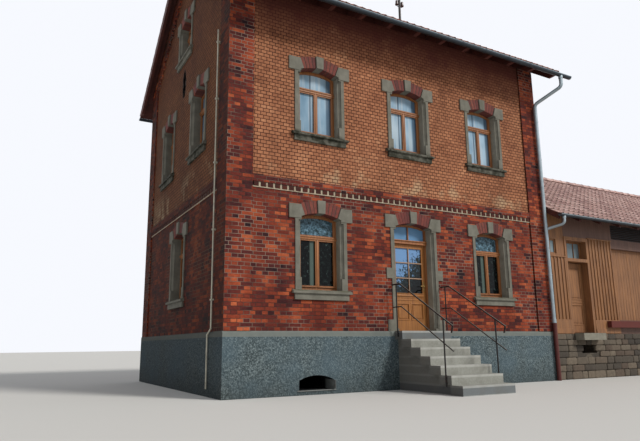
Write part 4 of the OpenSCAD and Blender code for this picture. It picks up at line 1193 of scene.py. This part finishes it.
def camera_and_light():
    """The viewing angle of the picture, a soft sun from the right, and a pale surround."""
    turn = [math.radians(angle) for angle in (101.288, 0.6518, -28.9532)]
    bpy.ops.object.camera_add(location=(-8.0743, -10.1891, 0.9484), rotation=turn)
    camera = bpy.context.object
    camera.data.lens = 31.99
    camera.data.sensor_width = 36
    camera.data.shift_y = 0.01753
    camera.data.clip_end = 400
    bpy.context.scene.camera = camera

    bpy.ops.object.light_add(type="SUN", rotation=(math.radians(52), 0, math.radians(32)))
    sun = bpy.context.object.data
    sun.energy = 2.3
    sun.angle = math.radians(14)
    sun.color = (1.0, 0.97, 0.92)

    world = bpy.data.worlds.new("pale surround")
    bpy.context.scene.world = world
    world.use_nodes = True
    tree = world.node_tree
    back = tree.nodes["Background"]
    back.inputs["Color"].default_value = (0.93, 0.95, 1.0, 1.0)
    path = tree.nodes.new("ShaderNodeLightPath").outputs
    seen = path["Is Camera Ray"]
    for name in ("Is Glossy Ray", "Is Transmission Ray"):
        either = tree.nodes.new("ShaderNodeMath")
        either.operation = "MAXIMUM"
        tree.links.new(seen, either.inputs[0])
        tree.links.new(path[name], either.inputs[1])
        seen = either.outputs[0]
    level = tree.nodes.new("ShaderNodeMapRange")
    level.inputs["To Min"].default_value = 0.45
    level.inputs["To Max"].default_value = 1.0
    tree.links.new(seen, level.inputs["Value"])
    tree.links.new(level.outputs[0], back.inputs["Strength"])
    bpy.context.scene.view_settings.view_transform = "Standard"


def pale_floor():
    finish = Finish("pale floor", 0.9, specular=0.1)
    bpy.ops.mesh.primitive_plane_add(size=300, location=(5, 3, -0.002))
    floor = bpy.context.object
    floor.name = "floor"
    floor.data.materials.append(finish.paint(tone(214, 213, 209)))


camera_and_light()
pale_floor()

oak = wood("oiled oak", (166, 108, 62), (124, 76, 44), 2, 0.5)
golden_oak = wood("golden door oak", (166, 110, 54), (132, 82, 40), 2, 0.45)
boards = wood("honey boards", (158, 110, 70), (112, 76, 50), 2, 0.6, board_pitch)
# Darker, redder boards for the shed's top panel: partly their own colour, partly painted shade under the
# eave.
shaded_boards = wood("shaded boards", (118, 88, 74), (88, 63, 56), 2, 0.6, board_pitch)
roof_wood = wood("dark roof wood", (96, 46, 38), (58, 29, 26), 1, 0.7, 0.16)
zinc = sheet_zinc("weathered zinc", ((124, 136, 143), (158, 171, 177), (180, 191, 196)))
# Gutters: darker zinc, with strong painted shade on the undersides.
dull_zinc = sheet_zinc("dull zinc", ((66, 74, 84), (86, 96, 106), (106, 116, 126)), 0.4)
iron = painted_iron("black iron", (34, 28, 28), 0.3)
main_clay = clay("roof clay", main_tile, roof_pitch, verge,
                 ((122, 70, 58), (142, 82, 66), (158, 96, 76), (170, 110, 90)))
# Pale grey-pink tints: partly the clay's own colour, partly painted sky glare on the shed roof.
shed_clay_with_painted_glare = clay("shed clay with painted glare", shed_tile, shed_pitch, shed_left + 0.04,
                 ((160, 124, 118), (180, 142, 134), (196, 160, 150), (210, 178, 170)), 0.5)

dress(red_bricks(), "front_wall_lower", "back_wall_lower", "gable_left_lower", "gable_right", "corner_piers",
      "rake_friezes")
dress(band_bricks(), "brick_band")
dress(lime_mortar(), "brick_arches")
dress(yellow_bricks(), "front_wall_upper", "back_wall_upper", "gable_left_upper")
dress(cut_stone(), "window_sills", "window_jambs", "impost_blocks", "keystones", "door_jambs")
dress(roughcast(), "plinth")
dress(step_concrete(), "front_steps")
dress(packed_stone(), "shed_base")
dress(oak, "window_frames", "door_frame")
dress(golden_oak, "front_door")
dress(boards, "shed_front_panels", "shed_rear_walls", "shed_frames", "goods_leaf_left", "goods_leaf_right",
      "shed_door")
dress(shaded_boards, "shed_front_top")
dress(roof_wood, "rafters", "roof_boards", "shed_rafters")
dress(wood("floor boards", (150, 116, 80), (104, 76, 50), 0, 0.6, 0.15), "floors", "shed_floor")
dress(wood("tarred lattice", (52, 44, 44), (30, 26, 28), 0, 0.7), "shed_lattice")
dress(main_clay, "roof_tiles", "ridge_tiles")
dress(shed_clay_with_painted_glare, "shed_roof_tiles")
dress(zinc, "downpipes", "flashing")
dress(dull_zinc, "gutters", "gutter_hooks")
dress(painted_iron("cream rod paint", (216, 212, 192), 0.6), "conductor")
dress(painted_iron("red-brown pipe paint", (96, 44, 40), 0.5), "standpipe")
dress(painted_iron("red beam paint", (104, 42, 34), 0.7), "fender_beam")
dress(iron, "roof_mast", "goods_rail")
# Railings with a painted highlight on their upper side.
dress(painted_iron("black iron with painted highlight", (30, 26, 26), 0.3, 0.35), "stair_railings")
dress(window_glass(), "window_panes")
dress(door_glass(), "front_door_panes")
dress(brass(), "door_handle")

arches = [brick for jamb, places in windows.items() for brick in arch_bricks(half_window, jamb, places)]
arches += arch_bricks(0.517, 2.303, [on_front(door_axis)])
fitted(join("arch_bricks", arches), arch_brick_clay())
joinery = [window for jamb, places in windows.items() for window in glazing_beads(jamb, places)]
fitted(join("window_joinery", joinery), oak, smooth=40)
fitted(band_details(), limewash())
fitted(shed_battens(), boards, smooth=40)
fitted(rubble(7), loose_stone(), smooth=50)
fitted(gutter_trim(), zinc, smooth=40)
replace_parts(fitted(rain_pipes(), zinc, smooth=40), "downpipes")
crossbar_levels = [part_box("roof_mast")[1].z - drop for drop in (0.69, 0.29)]
fitted(bells("mast_insulators", crossbar_reach, crossbar_levels), glazed_bell("white glaze", (206, 204, 196)),
       smooth=50)
fitted(bells("hooked_insulators", hook_reach, [hook_level + 0.04]), glazed_bell("brown glaze", (74, 46, 38)),
       smooth=50)
fitted(mast_hooks(), iron, smooth=40)
fitted(eaves_boards(), roof_wood, smooth=40)
fitted(shed_sashes(), boards, smooth=40)
fitted(door_joinery(), golden_oak, "front_door_leaf", 40)
fitted(door_bars(), pale_bars(), "front_door_leaf", 40)
fitted(door_transom(), oak, smooth=40)
fitted(shed_door_joinery(), boards, "shed_door_leaf", 40)
fitted(leaf_boards("goods_boards_left", "goods_leaf_left"), boards, "goods_door_left", 40)
fitted(leaf_boards("goods_boards_right", "goods_leaf_right"), boards, "goods_door_right", 40)
fitted(cellar_vent(), painted_iron("grey vent paint", (128, 132, 130), 0.7), smooth=40)

# On each slope one slab of the frame stands for the laid tiles and the bed under them
main_slab, shed_slab, tile_rise, gap = 0.11, 0.07, 0.056, 0.001
main_columns, main_rows = 46, 16
shed_columns, shed_rows = 52, 14
main_top, shed_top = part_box("roof_tiles")[1].z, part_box("shed_roof_tiles")[1].z
main_foot = main_top - (wall_middle + main_reach) * math.tan(roof_pitch) - tile_rise / math.cos(roof_pitch)
main_eave = (verge, -main_reach, main_foot)
laid_tiles = roof_tiles("main_tiles", main_tile, main_columns, main_rows, roof_pitch, main_eave, main_clay)
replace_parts(laid_tiles, "roof_tiles")
tile_bed("main_tile_bed", main_columns * main_tile[0], main_slab - tile_rise - gap, roof_pitch, main_eave,
         roof_wood)
shed_foot = shed_top - (wall_middle + shed_reach) * math.tan(shed_pitch) - tile_rise / math.cos(shed_pitch)
shed_eave = (shed_left + 0.04, -shed_reach, shed_foot)
laid_tiles = roof_tiles("shed_tiles", shed_tile, shed_columns, shed_rows, shed_pitch, shed_eave, shed_clay_with_painted_glare)
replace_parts(laid_tiles, "shed_roof_tiles")
tile_bed("shed_tile_bed", 10.65, shed_slab - tile_rise - gap, shed_pitch, shed_eave, roof_wood)
main_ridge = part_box("ridge_tiles")[1].z - 0.13
caps = ridge_caps("ridge_caps_main", 0.1185, verge + 0.002, front_right + 0.274, main_ridge, 24, main_clay)
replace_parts(caps, "ridge_tiles")
shed_ridge = shed_top - 0.109 * math.tan(shed_pitch) + 0.001
ridge_caps("ridge_caps_shed", 0.1135, shed_left + 0.01, shed_right + 0.183, shed_ridge, 26, shed_clay_with_painted_glare)
